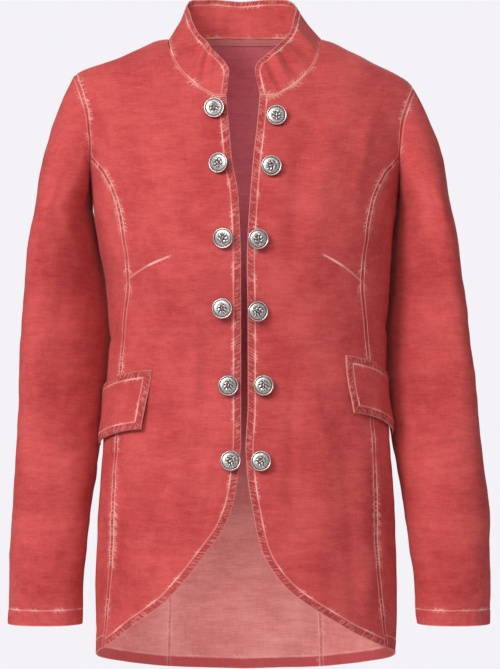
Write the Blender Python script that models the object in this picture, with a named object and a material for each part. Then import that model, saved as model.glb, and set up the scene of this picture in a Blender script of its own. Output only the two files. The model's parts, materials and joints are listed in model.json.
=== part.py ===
"""Hip-length jacket with a stand collar and cutaway fronts, filled out as if worn.

The frame is in millimetres while the shapes are worked out, and in metres in the scene.
+Z is up, -Y is the front and -X is the wearer's right. The origin is in the middle of the
neck opening, at the height where the collar is sewn on at the side of the neck.
Each panel is a grid of points on one shared body surface, between its own seams.
"""
import math

import bpy
import numpy as np

METRES = 0.001            # one millimetre
CLOTH = 1.4               # wall of one layer of cotton
SEAM_GAP = 0.3            # between neighbouring pieces
SQUARENESS = 2.3          # exponent of the body's cross section, 2 is an ellipse
CROWN_DEPTH = 110.0       # height over which the body rounds over to the shoulder seam
SIDES = {"right": -1, "left": 1}

# Body: half width on each side, depth of the front and of the back, at each height
BODY = {
    "height": (-730, -642, -547, -487, -441, -380, -347, -308, -270, -220, -190, -160, -140, -119,
               -91, -61, -33, 14, 60),
    "right": (169.5, 168.5, 166.5, 163, 159.5, 156, 154, 153.5, 156.5, 166, 171, 174.5, 179, 185.5,
              196, 207, 214, 217, 219),
    "left": (170, 170.5, 169.5, 167, 163.5, 158.5, 159.5, 161.5, 163, 166, 169, 173.5, 178.5, 185.5,
             196, 207, 214, 217, 219),
    "front": (110, 109, 106, 104.5, 103, 102, 104, 110, 119, 126, 123, 118, 113, 106,
              96, 86, 79, 74, 70),
    "back": (124, 120, 112, 101, 91, 79, 74, 76, 82, 92, 97, 100, 101, 101,
             99, 95, 90, 82, 80),
}

# Shoulder line: height of the seam at each distance from the centre, on each side
SHOULDER = {
    "half": (87, 100, 122, 145, 167, 183, 191, 215),
    "right": (7, 4.5, -5, -13, -21.5, -29, -33.5, -48),
    "left": (7, 2.5, -8, -19.5, -29.5, -39.5, -48, -68),
}
# Inside the neck the shoulder line runs on, lower for the front and higher for the back
CROWN_FRONT = {"half": (0, 59, 74, 87), "height": (22, 14, 10, 7)}
CROWN_BACK = {"half": (0, 30, 60, 80, 87), "height": (60, 54, 38, 17, 7)}
NECK_HALF = 87.0          # half width of the neck at the shoulder seam
SHOULDER_HALF = 191.0     # half width at the shoulder point

# Neck seam: height at each distance from the centre
NECK_FRONT = {"half": (0, 20, 30, 44, 59, 74, 83, 87),
              "height": (-61.5, -61.5, -61.5, -56, -45, -28, -9, 7)}
NECK_BACK = {"half": (0, 30, 60, 80, 87), "height": (14, 14, 12, 9, 7)}

# Armhole: half width at each share of the way from the shoulder point down to the underarm
ARMHOLE = {"share": (0, 0.12, 0.23, 0.32, 0.46, 0.68, 0.83, 0.93, 1),
           "half": (191, 185.5, 181, 177.5, 174.5, 173, 173.5, 173.3, 173.5)}
UNDERARM = -160.0
JOIN_FRONT = -125.0       # where the front princess seam meets the armhole
JOIN_BACK = -105.0        # where the seam in the back meets the armhole

# Seams of the side panel: distance from the centre at each height
PRINCESS = {
    "height": (-676, -640, -580, -520, -445, -364, -331, -300, -273, -256, -220, -192, -166, -150),
    "half": (157, 154, 149.5, 147, 143, 138, 136, 132.5, 129.6, 130, 134.5, 139, 146, 154.5),
}
BACK_SEAM = {"height": (-730, -640, -500, -345, -250, -190, -150, -130),
             "half": (90, 89, 85, 82, 98, 120, 145, 158)}

# Upright part of the front edges: distance from the centre at each height
FRONT_EDGE = {
    "height": (-448, -400, -300, -247, -212, -168, -135, -88, -61.5, 20),
    "right": (4.1, 4.1, 4.1, 4.1, 5, 7.7, 13.8, 18, 20.4, 24),
    "left": (0.6, 3.2, 3, 2.2, 3.3, 6.2, 8.8, 14, 16.2, 20),
}
# Cutaway part of the front edges, from the upright edge round to the side panel
CUTAWAY = {
    "right": {"half": (4.1, 7, 11.8, 24.2, 42.9, 66, 89.5, 121, 147, 157),
              "height": (-448, -478, -508, -540.5, -566.5, -596.5, -621.5, -645, -667, -675)},
    "left": {"half": (0.6, 2.6, 9.3, 18.1, 33.5, 53, 82, 115, 145, 157),
             "height": (-448, -480, -523, -561.5, -590, -611, -631.5, -651.5, -668, -675)},
}
# Hem of the side panels and back: height at each turn, in degrees from the centre front
HEM = {"turn": (60, 66.7, 90, 106, 122, 137, 156, 180),
       "height": (-673, -675, -687, -694.5, -700.7, -706.5, -712, -715)}

# Folds of the body: each runs from one turn (degrees) and height to another
FOLD_COLUMNS = ("side", "from_turn", "from_height", "to_turn", "to_height", "spread", "rise")
BODY_FOLDS = (
    ("left", 18, -70, 15, -262, 9, -3.2),
    ("left", 27, -80, 24, -235, 10, 2.0),
    ("right", 21, -75, 17, -250, 11, -1.8),
    ("left", 40, -420, 44, -700, 12, -3.0),
    ("left", 29, -450, 25, -660, 11, 2.2),
    ("right", 37, -430, 41, -690, 12, -3.2),
    ("right", 25, -460, 20, -620, 11, 2.0),
    ("left", 62, -300, 108, -330, 9, -2.2),
    ("right", 66, -318, 112, -345, 9, -2.4),
    ("right", 128, -322, 172, -338, 10, -3.2),
    ("left", 130, -346, 174, -330, 10, -3.0),
    ("right", 150, -400, 147, -740, 14, -4.5),
    ("left", 152, -410, 147, -740, 14, -4.2),
    ("left", 168, -430, 166, -740, 12, 3.0),
    ("right", 136, -130, 158, -250, 12, -2.6),
    ("left", 137, -135, 160, -255, 12, -2.4),
)

# Sleeve: outer and inner edge on each side, half depth, middle of the depth, and how far the
# inner side lies behind the outer one, so that it hangs behind the body's edge, at each height
SLEEVE = {
    "height": (-650, -594, -547, -500, -440, -390, -333, -279, -219, -185),
    "outer_right": (265, 265.3, 263.5, 260.5, 256.3, 254, 251, 247.5, 242, 236.5),
    "inner_right": (183, 181, 177, 171.5, 162.5, 156, 151.5, 154.5, 165.5, 173),
    "outer_left": (275, 276, 275.7, 272, 265.5, 259.5, 253, 246.5, 238, 232),
    "inner_left": (194, 188.5, 183, 177, 166, 158.5, 157.5, 161, 166, 172),
    "half_depth": (40, 42, 44, 46, 49, 52, 56, 60, 65, 68),
    "middle": (-24, -18, -10, -3, 5, 9, 10, 9, 5, 3),
    "skew": (0, 0, 2, 8, 20, 32, 38, 40, 38, 28),
}
CUFF = -650.0
CAP_BASE = -185.0         # height where the sleeve cap ends and level sections begin
CAP_BULGE = 8.0           # how far the cap swells out over a straight run
SLEEVE_SQUARENESS = 2.2
# Folds of the sleeves: turn in degrees from the outer side, round by the front
SLEEVE_FOLDS = (
    ("right", 35, -345, 120, -372, 9, -3.2),
    ("right", 60, -402, 140, -385, 9, -2.6),
    ("right", 20, -300, 100, -318, 9, -2.2),
    ("right", 200, -350, 300, -368, 10, -3.4),
    ("right", 65, -150, 100, -250, 9, -2.6),
    ("left", 30, -352, 115, -330, 9, -3.0),
    ("left", 50, -395, 135, -412, 9, -3.0),
    ("left", 25, -300, 95, -282, 9, -2.0),
    ("left", 205, -372, 305, -352, 10, -3.4),
    ("left", 60, -155, 95, -255, 9, -2.6),
    ("right", 40, -520, 110, -540, 9, -1.8),
    ("left", 45, -545, 120, -528, 9, -1.8),
)

# Collar: how its stand rises from the neck seam, at each share of the way to the centre back
COLLAR = {
    "share": (0, 0.10, 0.17, 0.27, 0.38, 0.53, 0.76, 1),
    "inward": (8, 13, 19, 25, 26, 26, 10, 0),
    "backward": (19, 19, 17, 20, 18, 8, -6, -8),
    "up": (45, 45, 44, 38, 35, 35, 45, 42),
    "leftward": (-1.7, -2.0, -1.4, -1.2, -2.0, -3.0, -6.4, -6.4),
}
COLLAR_ROUND = 26.0       # radius of the collar's front corners

# Pocket flaps: upper front corner, drop of the upper edge towards the side, and sizes
FLAPS = {
    "right": {"front_half": 102.4, "top": -364.5, "drop": 21.0, "height": 66.0, "slant": 5.5},
    "left": {"front_half": 110.5, "top": -348.5, "drop": 27.0, "height": 64.0, "slant": 5.0},
}
FLAP_SIDE_TURN = 92.0     # turn in degrees where the flap ends, just past the side
FLAP_THICK = 2.4
FLAP_LIFT = 0.8           # from the panel to the flap's underside

# Buttons: distance from the centre, height, turn about the vertical and nod, in degrees
BUTTON_COLUMNS = ("half", "height", "turn", "nod")
BUTTONS = {
    "right": ((33.3, -76.5, 6, 2), (26.3, -138, 30, 0), (22.5, -220, 14, -4),
              (24.5, -297.5, 4, 8), (18.7, -382, -6, 4), (16.2, -465, -6, 9)),
    "left": ((34.4, -85, 4, 3), (28.5, -141, 5, 0), (13.8, -221.5, 10, 2),
             (13.0, -300.5, 14, 6), (20, -382, 4, 5), (17.3, -465, 2, 6)),
}
# Button profile: radius and height over the cloth, from the shank up to the crown
BUTTON_PROFILE = ((0.0, 0.6), (2.4, 0.6), (2.4, 5.2), (9.2, 5.6), (11.2, 7.0), (10.4, 8.6),
                  (9.0, 7.9), (5.0, 9.2), (0.0, 9.9))
BUTTON_SIDES = 14

TAPE_HEIGHT = 7.0
TAPE_THICK = 1.0

# Grid of each panel
LOW_ROWS = 25             # from the hem to the height where the side panel meets the armhole
HIGH_ROWS = 8             # from there to the neck and shoulder
FRONT_COLUMNS = 13
BACK_COLUMNS = 10         # each side of the centre
SIDE_COLUMNS = 8
CAP_ROWS = 8
SLEEVE_ROWS = 18
COLLAR_ROWS = 5
FLAP_GRID = (13, 6)

COLOURS = {               # red, green, blue, roughness, metallic
    "cotton": (0.58, 0.105, 0.10, 0.9, 0.0),
    "tape": (0.50, 0.09, 0.095, 0.9, 0.0),
    "pewter": (0.45, 0.43, 0.41, 0.4, 1.0),
}


def smooth(xs, ys, at):
    """A smooth curve through the points of a table, with no overshoot between them."""
    xs = np.asarray(xs, float)
    ys = np.asarray(ys, float)
    at = np.clip(np.asarray(at, float), xs[0], xs[-1])
    step = np.diff(xs)
    slope = np.diff(ys) / step
    tangent = np.empty_like(ys)
    tangent[0] = slope[0]
    tangent[-1] = slope[-1]
    same = slope[:-1] * slope[1:] > 0
    mean = 2 * slope[:-1] * slope[1:] / np.where(same, slope[:-1] + slope[1:], 1.0)
    tangent[1:-1] = np.where(same, mean, 0.0)
    i = np.clip(np.searchsorted(xs, at, side="right") - 1, 0, len(xs) - 2)
    t = (at - xs[i]) / step[i]
    rise = (3 - 2 * t) * t * t
    return (ys[i] * (1 - rise) + ys[i + 1] * rise
            + step[i] * t * (1 - t) * (tangent[i] * (1 - t) - tangent[i + 1] * t))


def unit(vectors):
    """Vectors of length one."""
    return vectors / np.maximum(np.linalg.norm(vectors, axis=-1, keepdims=True), 1e-9)


def ease(t):
    """0 to 1 with soft ends."""
    t = np.clip(t, 0.0, 1.0)
    return t * t * (3 - 2 * t)


def fold_relief(folds, side, turn, height, radius):
    """How far the folds of one side lift the cloth, over a surface of about this radius."""
    relief = np.zeros(np.broadcast(turn, height).shape)
    across = turn * radius
    for row in folds:
        fold = dict(zip(FOLD_COLUMNS, row))
        if fold["side"] != side:
            continue
        start = np.array([math.radians(fold["from_turn"]) * radius, fold["from_height"]])
        run = np.array([math.radians(fold["to_turn"]) * radius, fold["to_height"]]) - start
        length = np.linalg.norm(run)
        along = ((across - start[0]) * run[0] + (height - start[1]) * run[1]) / length
        aside = ((across - start[0]) * run[1] - (height - start[1]) * run[0]) / length
        fade = np.sin(math.pi * np.clip(along / length, 0, 1)) ** 0.8
        relief += fold["rise"] * fade * np.exp(-(aside / fold["spread"]) ** 2)
    return relief


def half_width(side, height):
    """Half width of the body."""
    return smooth(BODY["height"], BODY[side], height)


def turn_at(side, half, height):
    """Turn from the centre front, or from the centre back, at a distance from the centre."""
    share = np.clip(half / half_width(side, height), 0.0, 1.0)
    return np.arcsin(share ** (SQUARENESS / 2))


def crown_height(side, half, in_front):
    """Height of the line over which the body rounds, at a distance from the centre."""
    shoulder = smooth(SHOULDER["half"], SHOULDER[side], half)
    front = smooth(CROWN_FRONT["half"], CROWN_FRONT["height"], half)
    back = smooth(CROWN_BACK["half"], CROWN_BACK["height"], half)
    return np.where(half > NECK_HALF, shoulder, np.where(in_front, front, back))


def body_point(side, turn, height):
    """A point of the body surface; the turn goes from 0 at the front to pi at the back."""
    turn, height = np.broadcast_arrays(np.asarray(turn, float), np.asarray(height, float))
    power = 2 / SQUARENESS
    in_front = turn < math.pi / 2
    half = half_width(side, height) * np.sign(np.sin(turn)) * np.abs(np.sin(turn)) ** power
    depth = np.where(in_front, smooth(BODY["height"], BODY["front"], height),
                     smooth(BODY["height"], BODY["back"], height))
    below = np.clip((crown_height(side, np.abs(half), in_front) - height) / CROWN_DEPTH, 0, 1)
    round_over = np.sqrt(1 - (1 - below) ** 2)
    reach = depth * np.abs(np.cos(turn)) ** power * round_over
    relief = fold_relief(BODY_FOLDS, side, turn, height, 140.0)
    x = half + relief * np.sin(turn)
    y = np.where(in_front, -reach, reach) - relief * np.cos(turn)
    return np.stack([SIDES[side] * x, y, height + 0 * x], axis=-1)


def surface_normals(side, turn, height):
    """Outward normals of the body surface itself."""
    across = body_point(side, turn + 0.004, height) - body_point(side, turn - 0.004, height)
    upward = body_point(side, turn, height + 0.6) - body_point(side, turn, height - 0.6)
    return unit(np.cross(across, upward)) * SIDES[side]


def armhole_turn(side, height):
    """Turn of the armhole's front branch; the back branch is its mirror."""
    top = smooth(SHOULDER["half"], SHOULDER[side], SHOULDER_HALF)
    share = np.clip((top - height) / (top - UNDERARM), 0, 1)
    half = smooth(ARMHOLE["share"], ARMHOLE["half"], share)
    turn = turn_at(side, half, height)
    return turn + (math.pi / 2 - turn) * ease((share - 0.8) / 0.2)


def princess_turn(side, height):
    """Turn of the front panel's side seam: the princess seam, then the armhole above it."""
    join = turn_at(side, smooth(PRINCESS["height"], PRINCESS["half"], -150.0), -150.0)
    seam = turn_at(side, smooth(PRINCESS["height"], PRINCESS["half"], height), height)
    top = armhole_turn(side, JOIN_FRONT)
    lift = ease((height + 150.0) / (JOIN_FRONT + 150.0))
    seam = np.where(height > -150.0, join + (top - join) * lift, seam)
    return np.where(height > JOIN_FRONT, armhole_turn(side, height), seam)


def back_seam_turn(side, height):
    """Turn of the back panel's side seam, then of the armhole above it."""
    seam = math.pi - turn_at(side, smooth(BACK_SEAM["height"], BACK_SEAM["half"], height), height)
    join = math.pi - turn_at(side, smooth(BACK_SEAM["height"], BACK_SEAM["half"], -130.0), -130.0)
    top = math.pi - armhole_turn(side, JOIN_BACK)
    lift = ease((height + 130.0) / (JOIN_BACK + 130.0))
    seam = np.where(height > -130.0, join + (top - join) * lift, seam)
    return np.where(height > JOIN_BACK, math.pi - armhole_turn(side, height), seam)


def edge_turn(side, height):
    """Turn of the upright front edge."""
    return turn_at(side, smooth(FRONT_EDGE["height"], FRONT_EDGE[side], height), height)


def hem_height(turn):
    """Height of the hem."""
    return smooth(np.radians(HEM["turn"]), HEM["height"], turn)


def seam_inset(side, height):
    """Half of the seam gap as a turn, a little more where the seam meets the armhole."""
    widen = 1.25 + 1.5 * ease((height + 145.0) / 30.0)
    return 0.5 * SEAM_GAP / half_width(side, height) * widen


def rows_between(low, middle, high):
    """Heights of the rows: closer towards the armhole, then closer towards the shoulder."""
    low_share = 1 - (1 - np.linspace(0, 1, LOW_ROWS + 1)) ** 1.3
    high_share = np.sin(np.linspace(0, 1, HIGH_ROWS + 1) * math.pi / 2)[1:]
    below = low[None, :] + (middle - low)[None, :] * low_share[:, None]
    above = middle + (high[None, :] - middle) * high_share[:, None]
    return np.vstack([below, above])


def top_curve(side, neck, count=400):
    """Front-view curve of the shoulder seam and then the neck seam, from the shoulder in."""
    half_shoulder = np.linspace(SHOULDER_HALF, NECK_HALF, count)
    half_neck = np.linspace(NECK_HALF, 0, count)[1:]
    half = np.concatenate([half_shoulder, half_neck])
    height = np.concatenate([smooth(SHOULDER["half"], SHOULDER[side], half_shoulder),
                             smooth(neck["half"], neck["height"], half_neck)])
    return half, height


def column_shares(share_at_neck, shares):
    """Column shares with one of them moved to the corner of shoulder seam and neck seam."""
    shares = np.array(shares)
    shares[np.argmin(np.abs(shares - share_at_neck))] = share_at_neck
    return shares


def front_grid(side):
    """Outer points of a front: columns from the side seam to the front edge, rows upwards."""
    half, height = CUTAWAY[side]["half"], CUTAWAY[side]["height"]
    track = np.concatenate([[0], np.cumsum(np.hypot(np.diff(half), np.diff(height)))])
    fine = np.linspace(0, track[-1], 400)
    cut_half, cut_height = smooth(track, half, fine), smooth(track, height, fine)
    seam, edge = princess_turn(side, cut_height), edge_turn(side, cut_height)
    cut_share = np.clip((seam - turn_at(side, cut_half, cut_height)) / (seam - edge), 0, 1)[::-1]
    top_half, top_height = top_curve(side, NECK_FRONT)
    seam, edge = princess_turn(side, top_height), edge_turn(side, top_height)
    top_share = (seam - turn_at(side, top_half, top_height)) / (seam - edge)
    at_neck = np.interp(0, -(top_half - NECK_HALF), top_share)
    picks = np.linspace(0, 1, FRONT_COLUMNS) ** 0.92
    shares = np.interp(picks, np.linspace(0, 1, 400), cut_share)
    shares[0], shares[-1] = 0.0, 1.0
    shares = column_shares(at_neck, shares)
    low = np.interp(shares, cut_share, cut_height[::-1])
    high = np.interp(shares, top_share, top_height)
    heights = rows_between(low, np.full(len(shares), JOIN_FRONT), high)
    inset = seam_inset(side, heights)
    start = princess_turn(side, heights) - inset
    turns = start + (edge_turn(side, heights) - start) * shares[None, :]
    return body_point(side, turns, heights), surface_normals(side, turns, heights), shares, at_neck


def back_half_grid(side):
    """Outer points of one half of the back: columns from the side seam to the centre."""
    top_half, top_height = top_curve(side, NECK_BACK)
    seam = back_seam_turn(side, top_height)
    turn = math.pi - turn_at(side, top_half, top_height)
    top_share = (turn - seam) / (math.pi - seam)
    at_neck = np.interp(0, -(top_half - NECK_HALF), top_share)
    shares = column_shares(at_neck, np.linspace(0, 1, BACK_COLUMNS))
    seam_low = back_seam_turn(side, -700.0)
    low = hem_height(seam_low + (math.pi - seam_low) * shares)
    high = np.interp(shares, top_share, top_height)
    heights = rows_between(low, np.full(len(shares), JOIN_BACK), high)
    start = back_seam_turn(side, heights) + seam_inset(side, heights)
    turns = start + (math.pi - start) * shares[None, :]
    return body_point(side, turns, heights), surface_normals(side, turns, heights), shares, at_neck


def side_grid(side):
    """Outer points of a side panel: columns from the princess seam to the back seam."""
    front = np.linspace(JOIN_FRONT, UNDERARM, 200)
    back = np.linspace(UNDERARM, JOIN_BACK, 200)[1:]
    hole_height = np.concatenate([front, back])
    hole_turn = np.concatenate([armhole_turn(side, front), math.pi - armhole_turn(side, back)])
    hole = body_point(side, hole_turn, hole_height)
    track = np.concatenate([[0], np.cumsum(np.linalg.norm(np.diff(hole, axis=0), axis=1))])
    shares = np.linspace(0, 1, SIDE_COLUMNS)
    end_height = np.interp(shares * track[-1], track, hole_height)
    end_turn = np.interp(shares * track[-1], track, hole_turn)
    low_front, low_back = princess_turn(side, -676.0), back_seam_turn(side, -700.0)
    low = hem_height(low_front + (low_back - low_front) * shares)
    low_share = 1 - (1 - np.linspace(0, 1, LOW_ROWS + 1)) ** 1.3
    heights = low[None, :] + (end_height - low)[None, :] * low_share[:, None]
    inset = seam_inset(side, heights)
    start = np.minimum(princess_turn(side, np.minimum(heights, JOIN_FRONT)), math.pi / 2) + inset
    stop = back_seam_turn(side, np.minimum(heights, JOIN_BACK)) - inset
    turns = start + (stop - start) * shares[None, :]
    aim = end_turn + (0.5 - shares) * 2 * inset[-1]
    blend = ease((heights - (end_height[None, :] - 70.0)) / 70.0)
    turns = turns + (aim - turns[-1])[None, :] * blend
    return body_point(side, turns, heights), surface_normals(side, turns, heights)


def grid_normals(points, centre, closed=False):
    """Outward unit normals of a grid of points, away from the centre points."""
    if closed:
        across = np.roll(points, -1, axis=1) - np.roll(points, 1, axis=1)
    else:
        across = np.gradient(points, axis=1)
    normal = unit(np.cross(across, np.gradient(points, axis=0)))
    if np.sum(normal * (points - centre)) < 0:
        normal = -normal
    return normal


def make_object(name, points, faces, material):
    """A mesh object, in metres, with its faces turned outwards."""
    points = np.asarray(points) * METRES
    volume = 0.0
    for face in faces:
        for i in range(1, len(face) - 1):
            volume += np.dot(points[face[0]], np.cross(points[face[i]], points[face[i + 1]]))
    if volume < 0:
        faces = [face[::-1] for face in faces]
    mesh = bpy.data.meshes.new(name)
    mesh.from_pydata([tuple(map(float, p)) for p in points], [], faces)
    mesh.materials.append(material)
    mesh.shade_smooth()
    mesh.set_sharp_from_angle(angle=math.radians(50))
    mesh.update()
    thing = bpy.data.objects.new(name, mesh)
    bpy.context.collection.objects.link(thing)
    return thing


def make_wall(name, outer, inner, material, closed=False):
    """A closed wall between an outer and an inner grid of points."""
    rows, columns = outer.shape[:2]
    points = np.concatenate([outer.reshape(-1, 3), inner.reshape(-1, 3)])
    second = rows * columns

    def at(row, column, layer):
        return layer * second + row * columns + column % columns

    spans = columns if closed else columns - 1
    faces = []
    for r in range(rows - 1):
        for c in range(spans):
            faces.append((at(r, c, 0), at(r, c + 1, 0), at(r + 1, c + 1, 0), at(r + 1, c, 0)))
            faces.append((at(r, c, 1), at(r + 1, c, 1), at(r + 1, c + 1, 1), at(r, c + 1, 1)))
    for c in range(spans):
        faces.append((at(0, c, 1), at(0, c + 1, 1), at(0, c + 1, 0), at(0, c, 0)))
        faces.append((at(rows - 1, c, 0), at(rows - 1, c + 1, 0),
                      at(rows - 1, c + 1, 1), at(rows - 1, c, 1)))
    if not closed:
        for r in range(rows - 1):
            faces.append((at(r, 0, 0), at(r + 1, 0, 0), at(r + 1, 0, 1), at(r, 0, 1)))
            last = columns - 1
            faces.append((at(r, last, 1), at(r + 1, last, 1), at(r + 1, last, 0), at(r, last, 0)))
    return make_object(name, points, faces, material)


def collar_rise(side_sign, share):
    """How the collar's stand rises from the neck seam, at a share of the way to the back."""
    inward = smooth(COLLAR["share"], COLLAR["inward"], share)
    backward = smooth(COLLAR["share"], COLLAR["backward"], share)
    up = smooth(COLLAR["share"], COLLAR["up"], share)
    leftward = smooth(COLLAR["share"], COLLAR["leftward"], share)
    return np.stack([leftward - side_sign * inward, backward, up], axis=-1)


def radial(points, side):
    """Direction away from the armhole's middle, in the plane that faces the side."""
    top = smooth(SHOULDER["half"], SHOULDER[side], SHOULDER_HALF)
    middle = 0.5 * (top + UNDERARM)
    away = points * np.array([0.0, 1.0, 1.0]) - np.array([0.0, 0.0, middle])
    return unit(away)


def build_panels():
    """Outer points and surface normals of the fronts, the sides and both halves of the back."""
    grids = {}
    for side in SIDES:
        grids["front_" + side] = front_grid(side)
        grids["side_" + side] = side_grid(side)
        grids["back_" + side] = back_half_grid(side)
    return grids


def shape_seams(grids):
    """Set the walls' directions at the seams, and hand on the neck and armhole rings."""
    directions, necks, armholes = {}, {}, {}
    for side, sign in SIDES.items():
        front, front_normals, front_shares, front_neck = grids["front_" + side]
        back, back_normals, back_shares, back_neck = grids["back_" + side]
        panel, panel_normals = grids["side_" + side]
        normals = {"front": front_normals, "back": back_normals, "side": panel_normals}
        shoulder_front = front_shares <= front_neck + 1e-6
        shoulder_back = back_shares <= back_neck + 1e-6
        front[-1, shoulder_front, 1] = -0.5 * SEAM_GAP
        back[-1, shoulder_back, 1] = 0.5 * SEAM_GAP
        ridge = unit(np.array([sign * 0.3, 0.0, 1.0]))
        normals["front"][-1, shoulder_front] = ridge
        normals["back"][-1, shoulder_back] = ridge
        on_neck_front = front_shares >= front_neck - 1e-6
        on_neck_back = back_shares >= back_neck - 1e-6
        ring = np.concatenate([front[-1][on_neck_front][::-1], back[-1][on_neck_back]])
        normal = np.concatenate([normals["front"][-2][on_neck_front][::-1],
                                 normals["back"][-2][on_neck_back]])
        middle = on_neck_front.sum()
        ring_point = ring.copy()
        ring_point[middle - 1:middle + 1, 1] = 0.0
        track = np.concatenate([[0], np.cumsum(np.linalg.norm(np.diff(ring_point, axis=0), axis=1))])
        share = track / track[-1]
        rise = collar_rise(sign, share)
        along = unit(np.gradient(ring_point, track + np.arange(len(track)) * 1e-6, axis=0))
        stand = unit(np.cross(along, rise))
        stand = np.where(np.sum(stand * normal, axis=1, keepdims=True) < 0, -stand, stand)
        shared = unit(unit(normal) + stand)
        shared[middle - 1] = shared[middle] = unit(shared[middle - 1] + shared[middle])
        normals["front"][-1][np.where(on_neck_front)[0]] = shared[:middle][::-1]
        normals["back"][-1][np.where(on_neck_back)[0]] = shared[middle:]
        necks[side] = {"points": ring_point, "direction": shared, "share": share, "middle": middle}
        arm_rows = slice(LOW_ROWS, None)
        normals["front"][arm_rows, 0] = radial(front[arm_rows, 0], side)
        normals["back"][arm_rows, 0] = radial(back[arm_rows, 0], side)
        normals["side"][-1] = radial(panel[-1], side)
        for row, amount in ((LOW_ROWS - 3, 0.25), (LOW_ROWS - 2, 0.5), (LOW_ROWS - 1, 0.75)):
            for name, column in (("front", 0), ("back", 0), ("side", 0), ("side", -1)):
                seam = {"front": front, "back": back, "side": panel}[name][row, column]
                turned = normals[name][row, column] * (1 - amount) + radial(seam, side) * amount
                normals[name][row, column] = unit(turned)
        armholes[side] = np.concatenate([front[arm_rows, 0][::-1], panel[-1][1:-1],
                                         back[arm_rows, 0][:-1]])
        directions["front_" + side] = normals["front"]
        directions["back_" + side] = normals["back"]
        directions["side_" + side] = normals["side"]
    return directions, necks, armholes


def build_collar(necks, material):
    """The stand collar, on the ring of neck points of both sides."""
    right, left = necks["right"], necks["left"]
    right_keep = np.arange(len(right["points"])) != right["middle"]
    left_keep = np.arange(len(left["points"])) != left["middle"]
    points = np.concatenate([right["points"][right_keep], left["points"][left_keep][::-1][1:]])
    direction = np.concatenate([right["direction"][right_keep], left["direction"][left_keep][::-1][1:]])
    rise_right = collar_rise(-1, right["share"][right_keep])
    rise_left = collar_rise(1, left["share"][left_keep])
    rise = np.concatenate([rise_right, rise_left[::-1][1:]])
    track = np.concatenate([[0], np.cumsum(np.linalg.norm(np.diff(points, axis=0), axis=1))])
    rounds = COLLAR_ROUND * (1 - np.cos(np.linspace(0, math.pi / 2, 6)))
    middle = np.linspace(COLLAR_ROUND, track[-1] - COLLAR_ROUND, 27)
    at = np.concatenate([rounds[:-1], middle, track[-1] - rounds[:-1][::-1]])

    def read(values):
        return np.stack([np.interp(at, track, values[:, i]) for i in range(3)], axis=-1)

    base, lean, towards = read(points), read(rise), unit(read(direction))
    length = np.linalg.norm(lean, axis=1)
    from_end = np.minimum(np.minimum(at, track[-1] - at), COLLAR_ROUND)
    cut = COLLAR_ROUND - np.sqrt(COLLAR_ROUND ** 2 - (COLLAR_ROUND - from_end) ** 2)
    reach = (length - cut) / length
    foot = SEAM_GAP * 1.7 / length
    outer = []
    for k in range(COLLAR_ROWS + 1):
        share = k / COLLAR_ROWS
        amount = foot + (reach - foot) * share
        outer.append(base + lean * amount[:, None])
    outer = np.array(outer)
    normals = grid_normals(outer, np.array([0.0, 0.0, 0.0]))
    normals[0] = towards
    return make_wall("collar", outer, outer - normals * CLOTH, material)


def sleeve_section(side, turn, height):
    """A point of the sleeve's level sections; the turn starts outside and goes by the front."""
    outer = smooth(SLEEVE["height"], SLEEVE["outer_" + side], height)
    inner = smooth(SLEEVE["height"], SLEEVE["inner_" + side], height)
    depth = smooth(SLEEVE["height"], SLEEVE["half_depth"], height)
    middle = smooth(SLEEVE["height"], SLEEVE["middle"], height)
    power = 2 / SLEEVE_SQUARENESS
    cos, sin = np.cos(turn), np.sin(turn)
    relief = fold_relief(SLEEVE_FOLDS, side, np.mod(turn, 2 * math.pi), height, 46.0)
    relief = relief * (1 - ease((-cos - 0.3) / 0.5))
    x = 0.5 * (outer + inner) + 0.5 * (outer - inner) * np.sign(cos) * np.abs(cos) ** power
    skew = smooth(SLEEVE["height"], SLEEVE["skew"], height)
    y = middle - depth * np.sign(sin) * np.abs(sin) ** power - skew * cos
    return np.stack([SIDES[side] * (x + relief * cos), y - relief * sin, height + 0 * x], axis=-1)


def build_sleeve(side, armhole, material):
    """A sleeve from the armhole's ring of points down to the cuff."""
    ring = np.concatenate([armhole, armhole[:1]])
    track = np.concatenate([[0], np.cumsum(np.linalg.norm(np.diff(ring, axis=0), axis=1))])
    base = armhole + np.array([SIDES[side] * SEAM_GAP * 1.3, 0.0, 0.0])
    turn = 2 * math.pi * track[:-1] / track[-1]
    end = sleeve_section(side, turn, np.full(len(turn), CAP_BASE))
    away = np.stack([SIDES[side] * np.cos(turn), -np.sin(turn), 0 * turn], axis=-1)
    swell = CAP_BULGE * np.maximum(np.cos(turn), 0) + 0.4 * CAP_BULGE * np.abs(np.sin(turn))
    rows = []
    for k in range(CAP_ROWS):
        t = k / CAP_ROWS
        bulge = np.sin(math.pi * t ** 0.8) * swell
        rows.append(base + (end - base) * t + away * bulge[:, None])
    for height in np.linspace(CAP_BASE, CUFF, SLEEVE_ROWS + 1):
        rows.append(sleeve_section(side, turn, np.full(len(turn), height)))
    outer = np.array(rows)
    normals = grid_normals(outer, outer.mean(axis=1, keepdims=True), closed=True)
    normals[0] = radial(base, side)
    return make_wall("sleeve_" + side, outer, outer - normals * CLOTH, material, closed=True)


def build_flap(side, material):
    """A pocket flap, which lies on the front and on the side panel."""
    size = FLAPS[side]
    columns, rows = FLAP_GRID
    start = turn_at(side, size["front_half"], size["top"])
    stop = math.radians(FLAP_SIDE_TURN)
    across = np.linspace(0, 1, columns + 1)[None, :]
    down = np.linspace(1, 0, rows + 1)[:, None]
    turn = start + (stop - start) * across + 0 * down
    height = size["top"] - size["drop"] * across ** 1.4 - size["height"] * down
    lean = turn_at(side, size["front_half"] + size["slant"], size["top"]) - start
    turn = turn + lean * down * (1 - across) ** 2
    skin = body_point(side, turn, height)
    normal = surface_normals(side, turn, height)
    under = skin + normal * FLAP_LIFT
    return make_wall("flap_" + side, under + normal * FLAP_THICK, under, material)


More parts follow.
